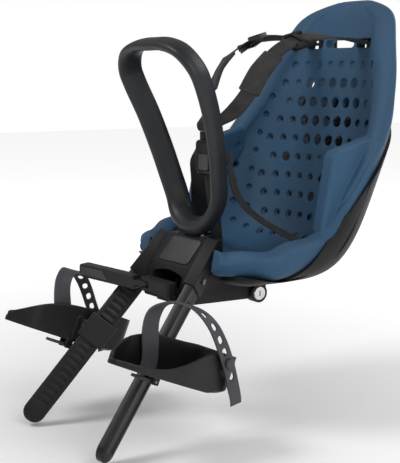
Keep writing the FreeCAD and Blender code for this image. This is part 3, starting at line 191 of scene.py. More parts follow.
@dataclass(frozen=True)
class Finish:
    """Colour and surface detail of one kind of material."""

    name: str
    slot: str
    pattern: Pattern
    light: Colour
    dark: Colour
    rough: Tuple[float, float]
    cell: float
    relief: float
    gloss: float = 0.3
    sheen: float = 0.0
    metallic: float = 0.0

    def build(self) -> bpy.types.Material:
        """Make the material.

        Returns:
            The finished material.
        """
        graph = Graph(self.name)
        shader = graph.shader
        shader.inputs["Metallic"].default_value = self.metallic
        shader.inputs["Specular IOR Level"].default_value = self.gloss
        shader.inputs["Sheen Weight"].default_value = self.sheen
        coords = graph.add("ShaderNodeTexCoord")
        if self.pattern is Pattern.WEAVE:
            self._weave(graph, coords.outputs["UV"])
        else:
            self._moulded(graph, coords.outputs["Object"])
        return graph.material

    def _moulded(self, graph: Graph, coords: bpy.types.NodeSocket) -> None:
        """Detail of foam, plastic, rubber and metal.

        Args:
            graph: Material that gets the nodes.
            coords: Object coordinates.
        """
        shader = graph.shader
        broad = graph.noise(coords, 14.0, 3.0)
        if self.pattern is Pattern.METAL:
            turn = graph.add("ShaderNodeMapping", Scale=(0.05, 1.0, 1.0))
            graph.link(coords, turn.inputs["Vector"])
            fine = graph.noise(turn.outputs["Vector"], 1.0 / self.cell, 2.0)
        else:
            fine = graph.noise(coords, 1.0 / self.cell, 3.0)
        mix = graph.add("ShaderNodeMath", operation="MULTIPLY_ADD")
        mix.inputs[1].default_value = 0.35
        graph.link(fine, mix.inputs[0])
        scaled = graph.add("ShaderNodeMath", operation="MULTIPLY")
        scaled.inputs[1].default_value = 0.65
        graph.link(broad, scaled.inputs[0])
        graph.link(scaled.outputs[0], mix.inputs[2])
        graph.link(graph.ramp(mix.outputs[0], 0.36, 0.64, self.dark, self.light), shader.inputs["Base Color"])
        graph.link(graph.spread(broad, *self.rough), shader.inputs["Roughness"])
        normal = graph.bump(fine, self.relief, self.cell * 0.5)
        if self.pattern is Pattern.FOAM:
            cells = graph.add("ShaderNodeTexVoronoi", Scale=0.45 / self.cell)
            graph.link(coords, cells.inputs["Vector"])
            normal = graph.bump(cells.outputs["Distance"], self.relief * 0.6, self.cell, normal)
        graph.link(normal, shader.inputs["Normal"])

    def _weave(self, graph: Graph, coords: bpy.types.NodeSocket) -> None:
        """Threads of webbing that follow the strap's own UV map.

        Args:
            graph: Material that gets the nodes.
            coords: UV coordinates in metres.
        """
        shader = graph.shader
        heights: List[bpy.types.NodeSocket] = []
        for turn in (0.9, -0.9):
            place = graph.add("ShaderNodeMapping", Rotation=(0.0, 0.0, turn))
            graph.link(coords, place.inputs["Vector"])
            wave = graph.add("ShaderNodeTexWave", Scale=0.314 / self.cell, Distortion=0.4, Detail=1.0)
            graph.link(place.outputs["Vector"], wave.inputs["Vector"])
            heights.append(wave.outputs["Fac"])
        cross = graph.add("ShaderNodeMath", operation="MULTIPLY")
        graph.link(heights[0], cross.inputs[0])
        graph.link(heights[1], cross.inputs[1])
        broad = graph.noise(coords, 60.0, 2.0)
        mix = graph.add("ShaderNodeMath", operation="MULTIPLY_ADD")
        mix.inputs[1].default_value = 0.5
        graph.link(cross.outputs[0], mix.inputs[0])
        graph.link(broad, mix.inputs[2])
        graph.link(graph.ramp(mix.outputs[0], 0.35, 1.0, self.dark, self.light), shader.inputs["Base Color"])
        graph.link(graph.spread(broad, *self.rough), shader.inputs["Roughness"])
        graph.link(graph.bump(cross.outputs[0], self.relief, self.cell * 0.4), shader.inputs["Normal"])


class Shelf:
    """Every finish of the seat, built once and handed out by name."""

    FINISHES: Tuple[Finish, ...] = (
        Finish("blue_foam", "foam", Pattern.FOAM, (0.0190, 0.074, 0.146), (0.0135, 0.056, 0.114),
               (0.56, 0.70), 0.0011, 0.16, gloss=0.42, sheen=0.04),
        Finish("black_shell", "shell", Pattern.GRAIN, (0.0105, 0.0105, 0.0115), (0.006, 0.006, 0.007),
               (0.44, 0.58), 0.0009, 0.18, gloss=0.24),
        Finish("console_plastic", "console", Pattern.GRAIN,
               (0.0125, 0.0125, 0.0135), (0.0075, 0.0075, 0.0085), (0.42, 0.54), 0.0009, 0.16, gloss=0.26),
        Finish("cover_plastic", "cover", Pattern.GRAIN, (0.052, 0.052, 0.054), (0.038, 0.038, 0.040),
               (0.38, 0.50), 0.0008, 0.12, gloss=0.4),
        Finish("handle_skin", "handle", Pattern.RUBBER, (0.0185, 0.0205, 0.0240), (0.0115, 0.0130, 0.0155),
               (0.40, 0.52), 0.0012, 0.08, gloss=0.34),
        Finish("leg_plastic", "leg", Pattern.GRAIN, (0.0095, 0.0095, 0.0110), (0.0055, 0.0055, 0.0065),
               (0.32, 0.44), 0.0009, 0.12, gloss=0.34),
        Finish("cup_plastic", "footrest", Pattern.GRAIN, (0.0095, 0.0095, 0.0110), (0.0060, 0.0060, 0.0070),
               (0.34, 0.46), 0.0009, 0.12, gloss=0.34),
        Finish("strap_rubber", "foot_strap", Pattern.RUBBER, (0.068, 0.069, 0.077), (0.048, 0.049, 0.056),
               (0.46, 0.58), 0.0010, 0.14, gloss=0.3),
        Finish("lever_plastic", "lever", Pattern.GRAIN, (0.0150, 0.0150, 0.0160), (0.0090, 0.0090, 0.0100),
               (0.38, 0.50), 0.0008, 0.12, gloss=0.3),
        Finish("black_plastic", "black_plastic", Pattern.GRAIN,
               (0.0100, 0.0100, 0.0110), (0.0050, 0.0050, 0.0060), (0.34, 0.46), 0.0008, 0.12, gloss=0.3),
        Finish("button_plastic", "button", Pattern.GRAIN, (0.040, 0.041, 0.044), (0.028, 0.029, 0.031),
               (0.28, 0.36), 0.0008, 0.06, gloss=0.4),
        Finish("strap_weave", "webbing", Pattern.WEAVE, (0.040, 0.039, 0.040), (0.011, 0.0105, 0.011),
               (0.66, 0.80), 0.0011, 0.55, gloss=0.2, sheen=0.05),
        Finish("sleeve_weave", "sleeve", Pattern.WEAVE, (0.052, 0.050, 0.049), (0.017, 0.016, 0.016),
               (0.70, 0.84), 0.0014, 0.60, gloss=0.2, sheen=0.08),
        Finish("lock_metal", "lock", Pattern.METAL, (0.66, 0.66, 0.66), (0.52, 0.52, 0.53),
               (0.18, 0.30), 0.0006, 0.08, gloss=0.5, metallic=1.0),
        Finish("steel", "steel", Pattern.METAL, (0.30, 0.30, 0.31), (0.20, 0.20, 0.21),
               (0.26, 0.38), 0.0006, 0.10, gloss=0.5, metallic=1.0),
    )

    def __init__(self) -> None:
        """Build every finish."""
        self.by_slot: Dict[str, bpy.types.Material] = {f.slot: f.build() for f in self.FINISHES}

    def dress(self, obj: bpy.types.Object, slot: str) -> None:
        """Give an object one finish.

        Args:
            obj: Object to dress.
            slot: Material slot of the record.
        """
        obj.data.materials.clear()
        obj.data.materials.append(self.by_slot[slot])


class Bench:
    """Modelling steps that every sub-assembly uses."""

    def __init__(self, shelf: Shelf) -> None:
        """Keep the finishes and find each node's slot and body.

        Args:
            shelf: The finishes.
        """
        record = frame["record"]
        self.shelf = shelf
        self.slots: Dict[str, str] = {s["node"]: s["material_slot"] for s in record["subparts"]}
        groups = record["behaviour"]["bodies"]
        self.bodies: Dict[str, str] = {node: body for body, nodes in groups.items() for node in nodes}

    @staticmethod
    def alone(obj: bpy.types.Object) -> None:
        """Make an object the only selected one and the active one."""
        bpy.ops.object.select_all(action="DESELECT")
        obj.select_set(True)
        bpy.context.view_layer.objects.active = obj

    def apply(self, obj: bpy.types.Object, kind: str, **values: object) -> None:
        """Add a modifier, set its values and apply it.

        Args:
            obj: Object that gets the modifier.
            kind: Type name of the modifier.
            values: Attribute values of the modifier.
        """
        self.alone(obj)
        modifier = obj.modifiers.new(kind.title(), kind)
        for key, value in values.items():
            setattr(modifier, key, value)
        bpy.ops.object.modifier_apply(modifier=modifier.name)

    def copy(self, node: str, name: str) -> bpy.types.Object:
        """Copy a node's mesh into a new piece and merge its loose triangles.

        Args:
            node: Name of the CAD node.
            name: Name of the new piece.

        Returns:
            The new piece.
        """
        source = frame["nodes"][node]
        piece = bpy.data.objects.new(name, source.data.copy())
        bpy.context.scene.collection.objects.link(piece)
        self.alone(piece)
        bpy.ops.object.mode_set(mode="EDIT")
        bpy.ops.mesh.select_all(action="SELECT")
        bpy.ops.mesh.remove_doubles(threshold=1e-6)
        bpy.ops.mesh.dissolve_limited(angle_limit=math.radians(0.4))
        bpy.ops.object.mode_set(mode="OBJECT")
        return piece

    def settle(self, piece: bpy.types.Object, nodes: Sequence[str], smooth: float) -> bpy.types.Object:
        """Finish a piece that stands for nodes: body, slot, finish and shading.

        Args:
            piece: The new piece.
            nodes: Nodes that it replaces, on one body.
            smooth: Angle in degrees below which edges are smooth.

        Returns:
            The piece.
        """
        self.alone(piece)
        bpy.ops.object.shade_smooth_by_angle(angle=math.radians(smooth))
        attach(piece, self.bodies[nodes[0]])
        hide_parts(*nodes)
        self.shelf.dress(piece, self.slots[nodes[0]])
        LOG.info("%s stands for %s with %d faces", piece.name, ", ".join(nodes), len(piece.data.polygons))
        return piece

    def rounded(self, node: str, width: float, segments: int = 2) -> bpy.types.Object:
        """Replace a node by a copy with rounded edges.

        Args:
            node: Name of the CAD node.
            width: Width of the rounding in metres.
            segments: Steps of the rounding.

        Returns:
            The new piece.
        """
        piece = self.copy(node, node + "_rounded")
        self.apply(piece, "BEVEL", width=width, segments=segments, limit_method="ANGLE",
                   angle_limit=math.radians(32.0), use_clamp_overlap=True)
        return self.settle(piece, [node], 40.0)

    def moulded(self, node: str, voxel: float, passes: int, share: float,
                shape: Callable[[bpy.types.Object], None] = lambda piece: None) -> bpy.types.Object:
        """Replace a node by a copy whose edges flow softly, as a thick moulding's do.

        Args:
            node: Name of the CAD node.
            voxel: Size of the even mesh in metres.
            passes: Steps of smoothing.
            share: Share of the faces that stays.
            shape: Step that moves the even mesh's points before the smoothing.

        Returns:
            The new piece.
        """
        piece = self.copy(node, node + "_moulded")
        self.apply(piece, "REMESH", mode="VOXEL", voxel_size=voxel)
        shape(piece)
        self.apply(piece, "SMOOTH", factor=0.5, iterations=passes)
        self.apply(piece, "DECIMATE", ratio=share)
        return self.settle(piece, [node], 180.0)

    def block(self, size: Sequence[float], centre: Sequence[float]) -> bpy.types.Object:
        """Add a plain block.

        Args:
            size: Its three sides in metres.
            centre: Its middle in metres.

        Returns:
            The block.
        """
        bpy.ops.object.select_all(action="DESELECT")
        bpy.ops.mesh.primitive_cube_add(size=1.0, location=centre)
        block = bpy.context.object
        block.scale = size
        bpy.ops.object.transform_apply(location=True, rotation=True, scale=True)
        return block

    def join(self, pieces: Sequence[bpy.types.Object], name: str) -> bpy.types.Object:
        """Join pieces into one.

        Args:
            pieces: Pieces to join.
            name: Name of the joined piece.

        Returns:
            The joined piece.
        """
        self.alone(pieces[0])
        for piece in pieces:
            piece.select_set(True)
        bpy.ops.object.join()
        pieces[0].name = name
        pieces[0].data.name = name
        return pieces[0]

    def put(self, piece: bpy.types.Object, origin: Vector, across: Vector, run: Vector) -> None:
        """Move a piece from its own axes to a place on the seat.

        Args:
            piece: Piece modelled round the world's origin.
            origin: Where its own origin goes, in metres.
            across: Direction of its own X.
            run: Direction of its own Y, made square to across.
        """
        run = run.normalized()
        across = (across - run * across.dot(run)).normalized()
        turn = Matrix((across, run, across.cross(run))).transposed().to_4x4()
        self.alone(piece)
        piece.matrix_world = Matrix.Translation(origin) @ turn
        bpy.ops.object.transform_apply(location=True, rotation=True, scale=True)

    def carve(self, piece: bpy.types.Object, tool: bpy.types.Object) -> None:
        """Cut a tool's shape out of a piece and remove the tool.

        Args:
            piece: Piece that is cut.
            tool: Shape that is taken away.
        """
        self.apply(piece, "BOOLEAN", operation="DIFFERENCE", object=tool, solver="EXACT")
        self.alone(tool)
        bpy.ops.object.delete()

    def detail(self, piece: bpy.types.Object, body: str, slot: str) -> None:
        """Finish a small piece that lies on another one.

        Args:
            piece: The small piece.
            body: Body that carries it.
            slot: Its material slot.
        """
        self.alone(piece)
        bpy.ops.object.shade_smooth_by_angle(angle=math.radians(40.0))
        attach(piece, body)
        self.shelf.dress(piece, slot)

    def keep(self, node: str) -> None:
        """Keep a node's own shape and give it its finish."""
        self.shelf.dress(frame["nodes"][node], self.slots[node])
        self.alone(frame["nodes"][node])
        bpy.ops.object.shade_smooth_by_angle(angle=math.radians(30.0))


@dataclass
class Bucket:
    """Foam bucket, its hard shell and the screws that join them."""

    bench: Bench
    voxel: float = 1.25 * MM
    smoothing: int = 3
    share: float = 0.42
    vent_radius: float = 4.6 * MM
    vent_depth: float = 4.5 * MM
    vent_search: float = 1.5
    vent_facing: float = 0.3
    vent_slope: float = 0.3
    crease_width: float = 2.6 * MM
    crease_depth: float = 1.3 * MM
    ridge_width: float = 9.0 * MM
    ridge_depth: float = -1.8 * MM
    wall: float = 4.2 * MM
    vent_axis: float = 120.0 * MM
    vent_rows: int = 8
    outer_rows: int = 5
    vent_low: float = 46.0 * MM
    vent_pitch: float = 27.0 * MM
    outer_rise: float = 8.0 * MM
    vent_angle: float = 50.0
    vent_drift: float = 0.25
    outer_angle: float = 8.5
    crease_top: Tuple[float, float] = (0.216, 0.182)
    crease_foot: Tuple[float, float] = (0.155, 0.099)
    lip_centre: Tuple[float, float] = (0.080, 0.120)
    lip_reach: Tuple[float, float] = (0.076, 0.104)
    lip_low: float = 32.0 * MM
    lip_rise: float = 32.0 * MM
    lip_curve: float = 1.3
    lip_turn: float = 80.0
    line_steps: int = 120
    edge_point: Tuple[float, float, float] = (0.0, 0.109, 0.038)
    edge_normal: Tuple[float, float, float] = (0.0, -0.737, 0.676)
    shell_facing: Tuple[float, float, float] = (0.8, 0.5, -0.5)
    shell_turn: float = 0.2
    shell_foot: float = 6.0 * MM

    @staticmethod
    def _tree(foam: bpy.types.Object) -> kdtree.KDTree:
        """Sort the foam's points by place."""
        tree = kdtree.KDTree(len(foam.data.vertices))
        for vertex in foam.data.vertices:
            tree.insert(vertex.co, vertex.index)
        tree.balance()
        return tree

    def vent_places(self, foam: bpy.types.Object) -> List[Vector]:
        """Find where the side walls' two columns of vents lie on the foam's inside.

        Args:
            foam: Foam with an even mesh.

        Returns:
            Middles of the vents on both sides.
        """
        places: List[Vector] = []
        columns = ((self.vent_rows, 0.0, 0.0), (self.outer_rows, self.outer_rise, self.outer_angle))
        for rows, rise, extra in columns:
            for row in range(rows):
                angle = math.radians(self.vent_angle + extra - self.vent_drift * row * row)
                start = Vector((0.0, self.vent_axis, self.vent_low + rise + self.vent_pitch * row))
                for side in (-1.0, 1.0):
                    aim = Vector((side * math.sin(angle), math.cos(angle), 0.0))
                    hit, place, _, _ = foam.ray_cast(start, aim)
                    if hit:
                        places.append(place)
        return places

    def wing_line(self, foam: bpy.types.Object) -> List[Vector]:
        """Find the straight line that borders each wing's panel, seen from the side.

        Args:
            foam: Foam with an even mesh.

        Returns:
            Places along the line on both sides.
        """
        top, foot = Vector(self.crease_top), Vector(self.crease_foot)
        places: List[Vector] = []
        for k in range(self.line_steps):
            y, z = top.lerp(foot, k / (self.line_steps - 1))
            for side in (-1.0, 1.0):
                hit, place, _, _ = foam.ray_cast(Vector((side, y, z)), Vector((-side, 0.0, 0.0)))
                if hit:
                    places.append(place)
        return places

    def lip_line(self) -> List[Vector]:
        """Work out the edge between the lip's top and front, an arc that climbs towards the wings.

        Returns:
            Places along the line on both sides.
        """
        places: List[Vector] = []
        for k in range(self.line_steps):
            angle = math.radians(self.lip_turn) * k / (self.line_steps - 1)
            x = self.lip_centre[0] + self.lip_reach[0] * math.cos(angle)
            y = self.lip_centre[1] - self.lip_reach[1] * math.sin(angle)
            z = self.lip_low + self.lip_rise * (1.0 - math.sin(angle)) ** self.lip_curve
            places.extend((Vector((x, y, z)), Vector((-x, y, z))))
        return places

    def dimple(self, foam: bpy.types.Object) -> None:
        """Press the side walls' blind vents into the foam.

        Args:
            foam: Foam with an even mesh.
        """
        tree = self._tree(foam)
        points = foam.data.vertices
        for spot in self.vent_places(foam):
            centre, index, _ = tree.find(spot)
            axis = points[index].normal.copy()
            for place, near, _ in tree.find_range(centre, self.vent_radius * self.vent_search):
                offset = place - centre
                share = (offset - axis * offset.dot(axis)).length / self.vent_radius
                if share < 1.0 and points[near].normal.dot(axis) > self.vent_facing:
                    ease = min(1.0, (1.0 - share) / self.vent_slope)
                    points[near].co = place - axis * (self.vent_depth * ease * ease * (3.0 - 2.0 * ease))

    def crease(self, foam: bpy.types.Object, line: Sequence[Vector], width: float, depth: float) -> None:
        """Press a line into the foam, or raise it.

        Args:
            foam: Foam with an even mesh.
            line: Close places along the line.
            width: Half width of the line in metres.
            depth: How far the line is pressed in, or raised if it is negative, in metres.
        """
        tree = self._tree(foam)
        points = foam.data.vertices
        drops: Dict[int, float] = {}
        for step in line:
            for _, near, gap in tree.find_range(tree.find(step)[0], width):
                drops[near] = max(drops.get(near, 0.0), 1.0 - gap / width)
        moves = {index: points[index].normal * (depth * drop) for index, drop in drops.items()}
        for index, move in moves.items():
            points[index].co = points[index].co - move

    def sides(self, foam: bpy.types.Object) -> None:
        """Model the shell's high sides, which climb the foam up to a clean slanted edge.

        Args:
            foam: Finished foam, whose outside the shell follows.
        """
        piece = bpy.data.objects.new("shell_sides", foam.data.copy())
        bpy.context.scene.collection.objects.link(piece)
        self.bench.alone(piece)
        bpy.ops.object.mode_set(mode="EDIT")
        bpy.ops.mesh.select_mode(type="FACE")
        bpy.ops.mesh.select_all(action="SELECT")
        bpy.ops.mesh.bisect(plane_co=self.edge_point, plane_no=self.edge_normal, clear_outer=True)
        bpy.ops.mesh.select_all(action="DESELECT")
        bpy.ops.object.mode_set(mode="OBJECT")
        for face in piece.data.polygons:
            out, back, up = self.shell_facing
            side = math.copysign(1.0, face.center.x)
            outward = out * side * face.normal.x + back * face.normal.y + up * face.normal.z
            face.select = outward < self.shell_turn or face.center.z < self.shell_foot
        bpy.ops.object.mode_set(mode="EDIT")
        bpy.ops.mesh.delete(type="FACE")
        bpy.ops.object.mode_set(mode="OBJECT")
        self.bench.apply(piece, "SOLIDIFY", thickness=self.wall, offset=1.0)
        self.bench.detail(piece, "seat", "shell")

    def build(self) -> None:
        """Model the soft foam and dress the shell."""
        foam = self.bench.copy("seat_liner", "foam_bucket")
        self.bench.apply(foam, "REMESH", mode="VOXEL", voxel_size=self.voxel)
        self.bench.apply(foam, "SMOOTH", factor=0.5, iterations=self.smoothing)
        self.dimple(foam)
        self.crease(foam, self.wing_line(foam), self.crease_width, self.crease_depth)
        self.crease(foam, self.lip_line(), self.ridge_width, self.ridge_depth)
        self.bench.apply(foam, "DECIMATE", ratio=self.share)
        self.bench.settle(foam, ["seat_liner"], 180.0)
        self.sides(foam)
        self.bench.rounded("seat_shell", 1.2 * MM)
        self.bench.keep("liner_screws")


def route_points(stations: Sequence[Station], steps: int) -> List[Tuple[Vector, Vector, Vector]]:
    """Smooth places, runs and width directions along a strap's stations.

    Args:
        stations: Centres and width directions in millimetres.
        steps: Places between two stations.

    Returns:
        Place in metres, unit run and unit width direction for each step.
    """
    centres = [Vector(c) * MM for c, _ in stations]
    across = [Vector(w).normalized() for _, w in stations]
    last = len(centres) - 1
    places: List[Tuple[Vector, Vector, Vector]] = []
    for i in range(last):
        before, a, b, after = (centres[max(i - 1, 0)], centres[i], centres[i + 1], centres[min(i + 2, last)])
        ease_in = (b - before) * 0.5 if i > 0 else b - a
        ease_out = (after - a) * 0.5 if i + 1 < last else b - a
        for k in range(steps + (1 if i == last - 1 else 0)):
            t = k / steps
            t2, t3 = t * t, t * t * t
            place = (a * (2 * t3 - 3 * t2 + 1) + ease_in * (t3 - 2 * t2 + t)
                     + b * (3 * t2 - 2 * t3) + ease_out * (t3 - t2))
            run = (a * (6 * t2 - 6 * t) + ease_in * (3 * t2 - 4 * t + 1)
                   + b * (6 * t - 6 * t2) + ease_out * (3 * t2 - 2 * t)).normalized()
            wide = across[i].lerp(across[i + 1], t)
            wide = (wide - run * wide.dot(run)).normalized()
            places.append((place, run, wide))
    return places


@dataclass
class Ribbon:
    """Flat strap of webbing along stations."""

    name: str
    nodes: Tuple[str, ...]
    stations: Tuple[Station, ...]
    width: float
    thick: float
    mirror: bool = False
    steps: int = 7
    columns: int = 8

    def build(self, bench: Bench) -> bpy.types.Object:
        """Model the strap from a grid that is laid along its route.

        Args:
            bench: Modelling steps and finishes.

        Returns:
            The strap.
        """
        places = route_points(self.stations, self.steps)
        flip = Vector((-1.0, 1.0, 1.0)) if self.mirror else Vector((1.0, 1.0, 1.0))
        bpy.ops.object.select_all(action="DESELECT")
        bpy.ops.mesh.primitive_grid_add(x_subdivisions=self.columns, y_subdivisions=len(places) - 1, size=1.0)
        strap = bpy.context.object
        strap.name = self.name
        strap.data.name = self.name
        lengths = [0.0]
        for (a, _, _), (b, _, _) in zip(places, places[1:]):
            lengths.append(lengths[-1] + (b - a).length)
        layer = strap.data.uv_layers.active
        rows: Dict[int, Tuple[float, float]] = {}
        for vertex in strap.data.vertices:
            row = round((vertex.co.y + 0.5) * (len(places) - 1))
            place, _, wide = places[row]
            offset = vertex.co.x * self.width
            rows[vertex.index] = (offset, lengths[row])
            point = place + wide * offset
            vertex.co = Vector((point.x * flip.x, point.y, point.z))
        for loop in strap.data.loops:
            layer.data[loop.index].uv = rows[loop.vertex_index]
        if self.mirror:
            bench.alone(strap)
            bpy.ops.object.mode_set(mode="EDIT")
            bpy.ops.mesh.select_all(action="SELECT")
            bpy.ops.mesh.flip_normals()
            bpy.ops.object.mode_set(mode="OBJECT")
        bench.apply(strap, "SOLIDIFY", thickness=self.thick, offset=0.0)
        bench.apply(strap, "BEVEL", width=self.thick * 0.3, segments=2, limit_method="ANGLE",
                    angle_limit=math.radians(50.0))
        return bench.settle(strap, list(self.nodes), 60.0)


@dataclass
class Harness:
    """Webbing, sleeves, sliders, tongues and buckle."""

    bench: Bench
    web: float = 25.0 * MM
    thin: float = 1.8 * MM
    rear: float = 313.6

    def shoulder(self) -> Tuple[Station, ...]:
        """Stations of the left shoulder strap, from its anchor to its tongue."""
        flat = (1.0, 0.0, 0.0)
        tipped = (0.98, 0.0, -0.2)
        leaning = (0.92, 0.0, -0.39)
        slant = (0.86, 0.2, -0.34)
        return (
            ((51.0, self.rear, 310.0), flat), ((51.0, 296.0, 310.0), flat), ((51.0, 262.0, 315.0), flat),
            ((51.0, 225.0, 318.0), tipped), ((51.0, 190.0, 316.0), leaning), ((50.0, 160.0, 308.0), leaning),
            ((49.0, 134.0, 293.0), leaning), ((46.0, 113.0, 270.0), slant), ((41.0, 98.0, 243.0), slant),
            ((31.0, 84.0, 221.0), slant), ((17.0, 69.0, 206.0), flat), ((11.0, 65.0, 198.3), flat),
            ((11.0, 65.0, 192.3), flat),
        )

    def waist(self) -> Tuple[Station, ...]:
        """Stations of the left waist strap, from the buckle into the foam."""
        up = (0.0, 0.0, 1.0)
        flat = (0.58, -0.81, 0.0)
        return (
            ((22.3, 66.0, 158.0), up), ((28.0, 67.0, 158.5), up), ((33.5, 71.0, 154.0), (0.25, -0.35, 0.9)),
            ((36.0, 74.0, 142.0), (0.5, -0.7, 0.5)), ((37.5, 76.5, 126.0), flat), ((43.0, 80.5, 109.0), flat),
            ((53.0, 87.5, 94.0), flat), ((66.5, 97.0, 81.0), flat), ((82.0, 108.5, 70.0), flat),
            ((98.0, 120.0, 60.5), flat), ((114.0, 131.0, 51.5), flat), ((129.0, 141.5, 43.0), flat),
        )

    def crotch(self) -> Tuple[Station, ...]:
        """Stations of the crotch strap, from the buckle to the floor."""
        flat = (1.0, 0.0, 0.0)
        return (((0.0, 66.0, 134.7), flat), ((0.0, 70.0, 105.0), flat), ((0.0, 75.0, 72.0), flat),
                ((0.0, 78.0, 40.0), flat), ((0.0, 78.0, 6.0), flat))

    def slider(self, side: str, mirror: bool) -> None:
        """Model the ladder adjuster that the webbing weaves through.

        Args:
            side: Child's side.
            mirror: Whether that side is the mirrored one.
        """
        (first, tilt), (second, _) = self.shoulder()[4:6]
        flip = -1.0 if mirror else 1.0
        start = Vector((flip * first[0], first[1], first[2])) * MM
        end = Vector((flip * second[0], second[1], second[2])) * MM
        length = (end - start).length
        rail, thick, bar = 5.0 * MM, 8.5 * MM, 7.5 * MM
        wide, clear = 34.0 * MM, 1.6 * MM
        parts = [self.bench.block((rail, length, thick), (x, 0.0, 0.0))
                 for x in (-(wide - rail) / 2, (wide - rail) / 2)]
        over = thick / 2 - clear
        for y, rise in ((-(length - bar) / 2, 1.0), (0.0, -1.0), ((length - bar) / 2, 1.0)):
            parts.append(self.bench.block((wide, bar, over), (0.0, y, rise * (clear + over / 2))))
        lever_y, tilt_up, rib_pitch = (length - bar) / 2, 0.35, 2.2 * MM
        thumb = self.bench.block((wide * 0.8, 10.0 * MM, 3.2 * MM), (0.0, lever_y, thick / 2 + 1.0 * MM))
        for vertex in thumb.data.vertices:
            vertex.co.z += (vertex.co.y - lever_y) * tilt_up
        parts.append(thumb)
        for k in (-1, 0, 1):
            rib_y = lever_y + k * rib_pitch
            rib_z = thick / 2 + 2.6 * MM + k * rib_pitch * tilt_up
            parts.append(self.bench.block((wide * 0.62, 0.9 * MM, 0.8 * MM), (0.0, rib_y, rib_z)))
        adjuster = self.bench.join(parts, side + "_ladder_adjuster")
        self.bench.apply(adjuster, "BEVEL", width=0.7 * MM, segments=2, limit_method="ANGLE",
                         angle_limit=math.radians(40.0))
        self.bench.put(adjuster, (start + end) / 2, Vector((tilt[0], tilt[1], flip * tilt[2])), end - start)
        self.bench.settle(adjuster, [side + "_strap_slider"], 40.0)

    def stitching(self, side: str, mirror: bool, thick: float) -> None:
        """Lay two rows of stitches across each end of the padded sleeve.

        Args:
            side: Child's side.
            mirror: Whether that side is the mirrored one.
            thick: Thickness of the sleeve.
        """
        places = route_points(self.shoulder()[6:9], 7)
        flip = -1.0 if mirror else 1.0
        stitches: List[bpy.types.Object] = []
        for row in (1, 2, len(places) - 3, len(places) - 2):
            place, run, wide = places[row]
            proud = wide.cross(run) * (thick / 2 - 0.1 * MM)
            for k in range(-4, 5):
                for face in (-1.0, 1.0):
                    spot = place + wide * (k * 3.2 * MM) + proud * face
                    bpy.ops.object.select_all(action="DESELECT")
                    bpy.ops.mesh.primitive_uv_sphere_add(segments=8, ring_count=5, radius=0.5 * MM)
                    stitch = bpy.context.object
                    stitch.scale = (2.4, 1.0, 0.8)
                    bpy.ops.object.transform_apply(location=False, rotation=False, scale=True)
                    self.bench.put(stitch, Vector((flip * spot.x, spot.y, spot.z)),
                                   Vector((flip * wide.x, wide.y, wide.z)),
                                   Vector((flip * run.x, run.y, run.z)))
                    stitches.append(stitch)
        self.bench.detail(self.bench.join(stitches, side + "_sleeve_stitching"), "seat", "webbing")

    def build(self) -> None:
        """Model every strap and dress the hard pieces."""
        for side, mirror in (("left", False), ("right", True)):
            Ribbon(side + "_shoulder_webbing", (side + "_shoulder_strap",), self.shoulder(), self.web,
                   self.thin, mirror).build(self.bench)
            Ribbon(side + "_waist_webbing", (side + "_waist_strap",), self.waist(), self.web,
                   self.thin, mirror).build(self.bench)
            pad = 5.0 * MM
            sleeve = Ribbon(side + "_padded_sleeve", (side + "_shoulder_sleeve",), self.shoulder()[6:9],
                            33.0 * MM, pad, mirror).build(self.bench)
            self.stitching(side, mirror, pad)
            self.slider(side, mirror)
            self.bench.rounded(side + "_buckle_tongue", 0.5 * MM)
        Ribbon("crotch_webbing", ("crotch_strap",), self.crotch(), self.web, self.thin).build(self.bench)
        self.bench.keep("buckle_body")
        self.bench.keep("buckle_button")
        self.bench.rounded("strap_anchors", 1.0 * MM)


@dataclass
class Front:
    """Console, cover, lock, release lever and what holds the handle."""

    bench: Bench

    def build(self) -> None:
        """Round and dress the hard pieces at the seat's front."""
        self.bench.rounded("console_body", 1.4 * MM)
        self.bench.rounded("console_cover", 0.7 * MM)
        self.bench.moulded("release_lever", 0.8 * MM, 12, 0.4)
        self.bench.moulded("lever_base", 0.8 * MM, 8, 0.4)
        self.bench.rounded("handle_collar", 1.0 * MM)
        for node in ("handle_bolts", "lever_pin", "lock_barrel", "lock_plug"):
            self.bench.keep(node)
        self.grip()

    def grip(self) -> None:
        """Lay a thin grip plate with a slanted end on the lever's front face."""
        pivot = Vector((-15.0, -24.0, -13.0)) * MM
        tip = Vector((-120.0, -63.0, -13.0)) * MM
        run = (tip - pivot).normalized()
        plate = self.bench.block((46.0 * MM, 11.0 * MM, 2.0 * MM), (84.0 * MM, 14.6 * MM, -8.6 * MM))
        for vertex in plate.data.vertices:
            if vertex.co.x < 70.0 * MM and vertex.co.y > 14.6 * MM:
                vertex.co.x += 9.0 * MM
            vertex.co.y += (vertex.co.x - 84.0 * MM) * 0.084
        self.bench.apply(plate, "BEVEL", width=0.8 * MM, segments=3, limit_method="ANGLE",
                         angle_limit=math.radians(40.0))
        self.bench.put(plate, pivot, run, Vector((0.0, 0.0, 1.0)))
        plate.name = "lever_grip"
        self.bench.detail(plate, "lever", "cover")


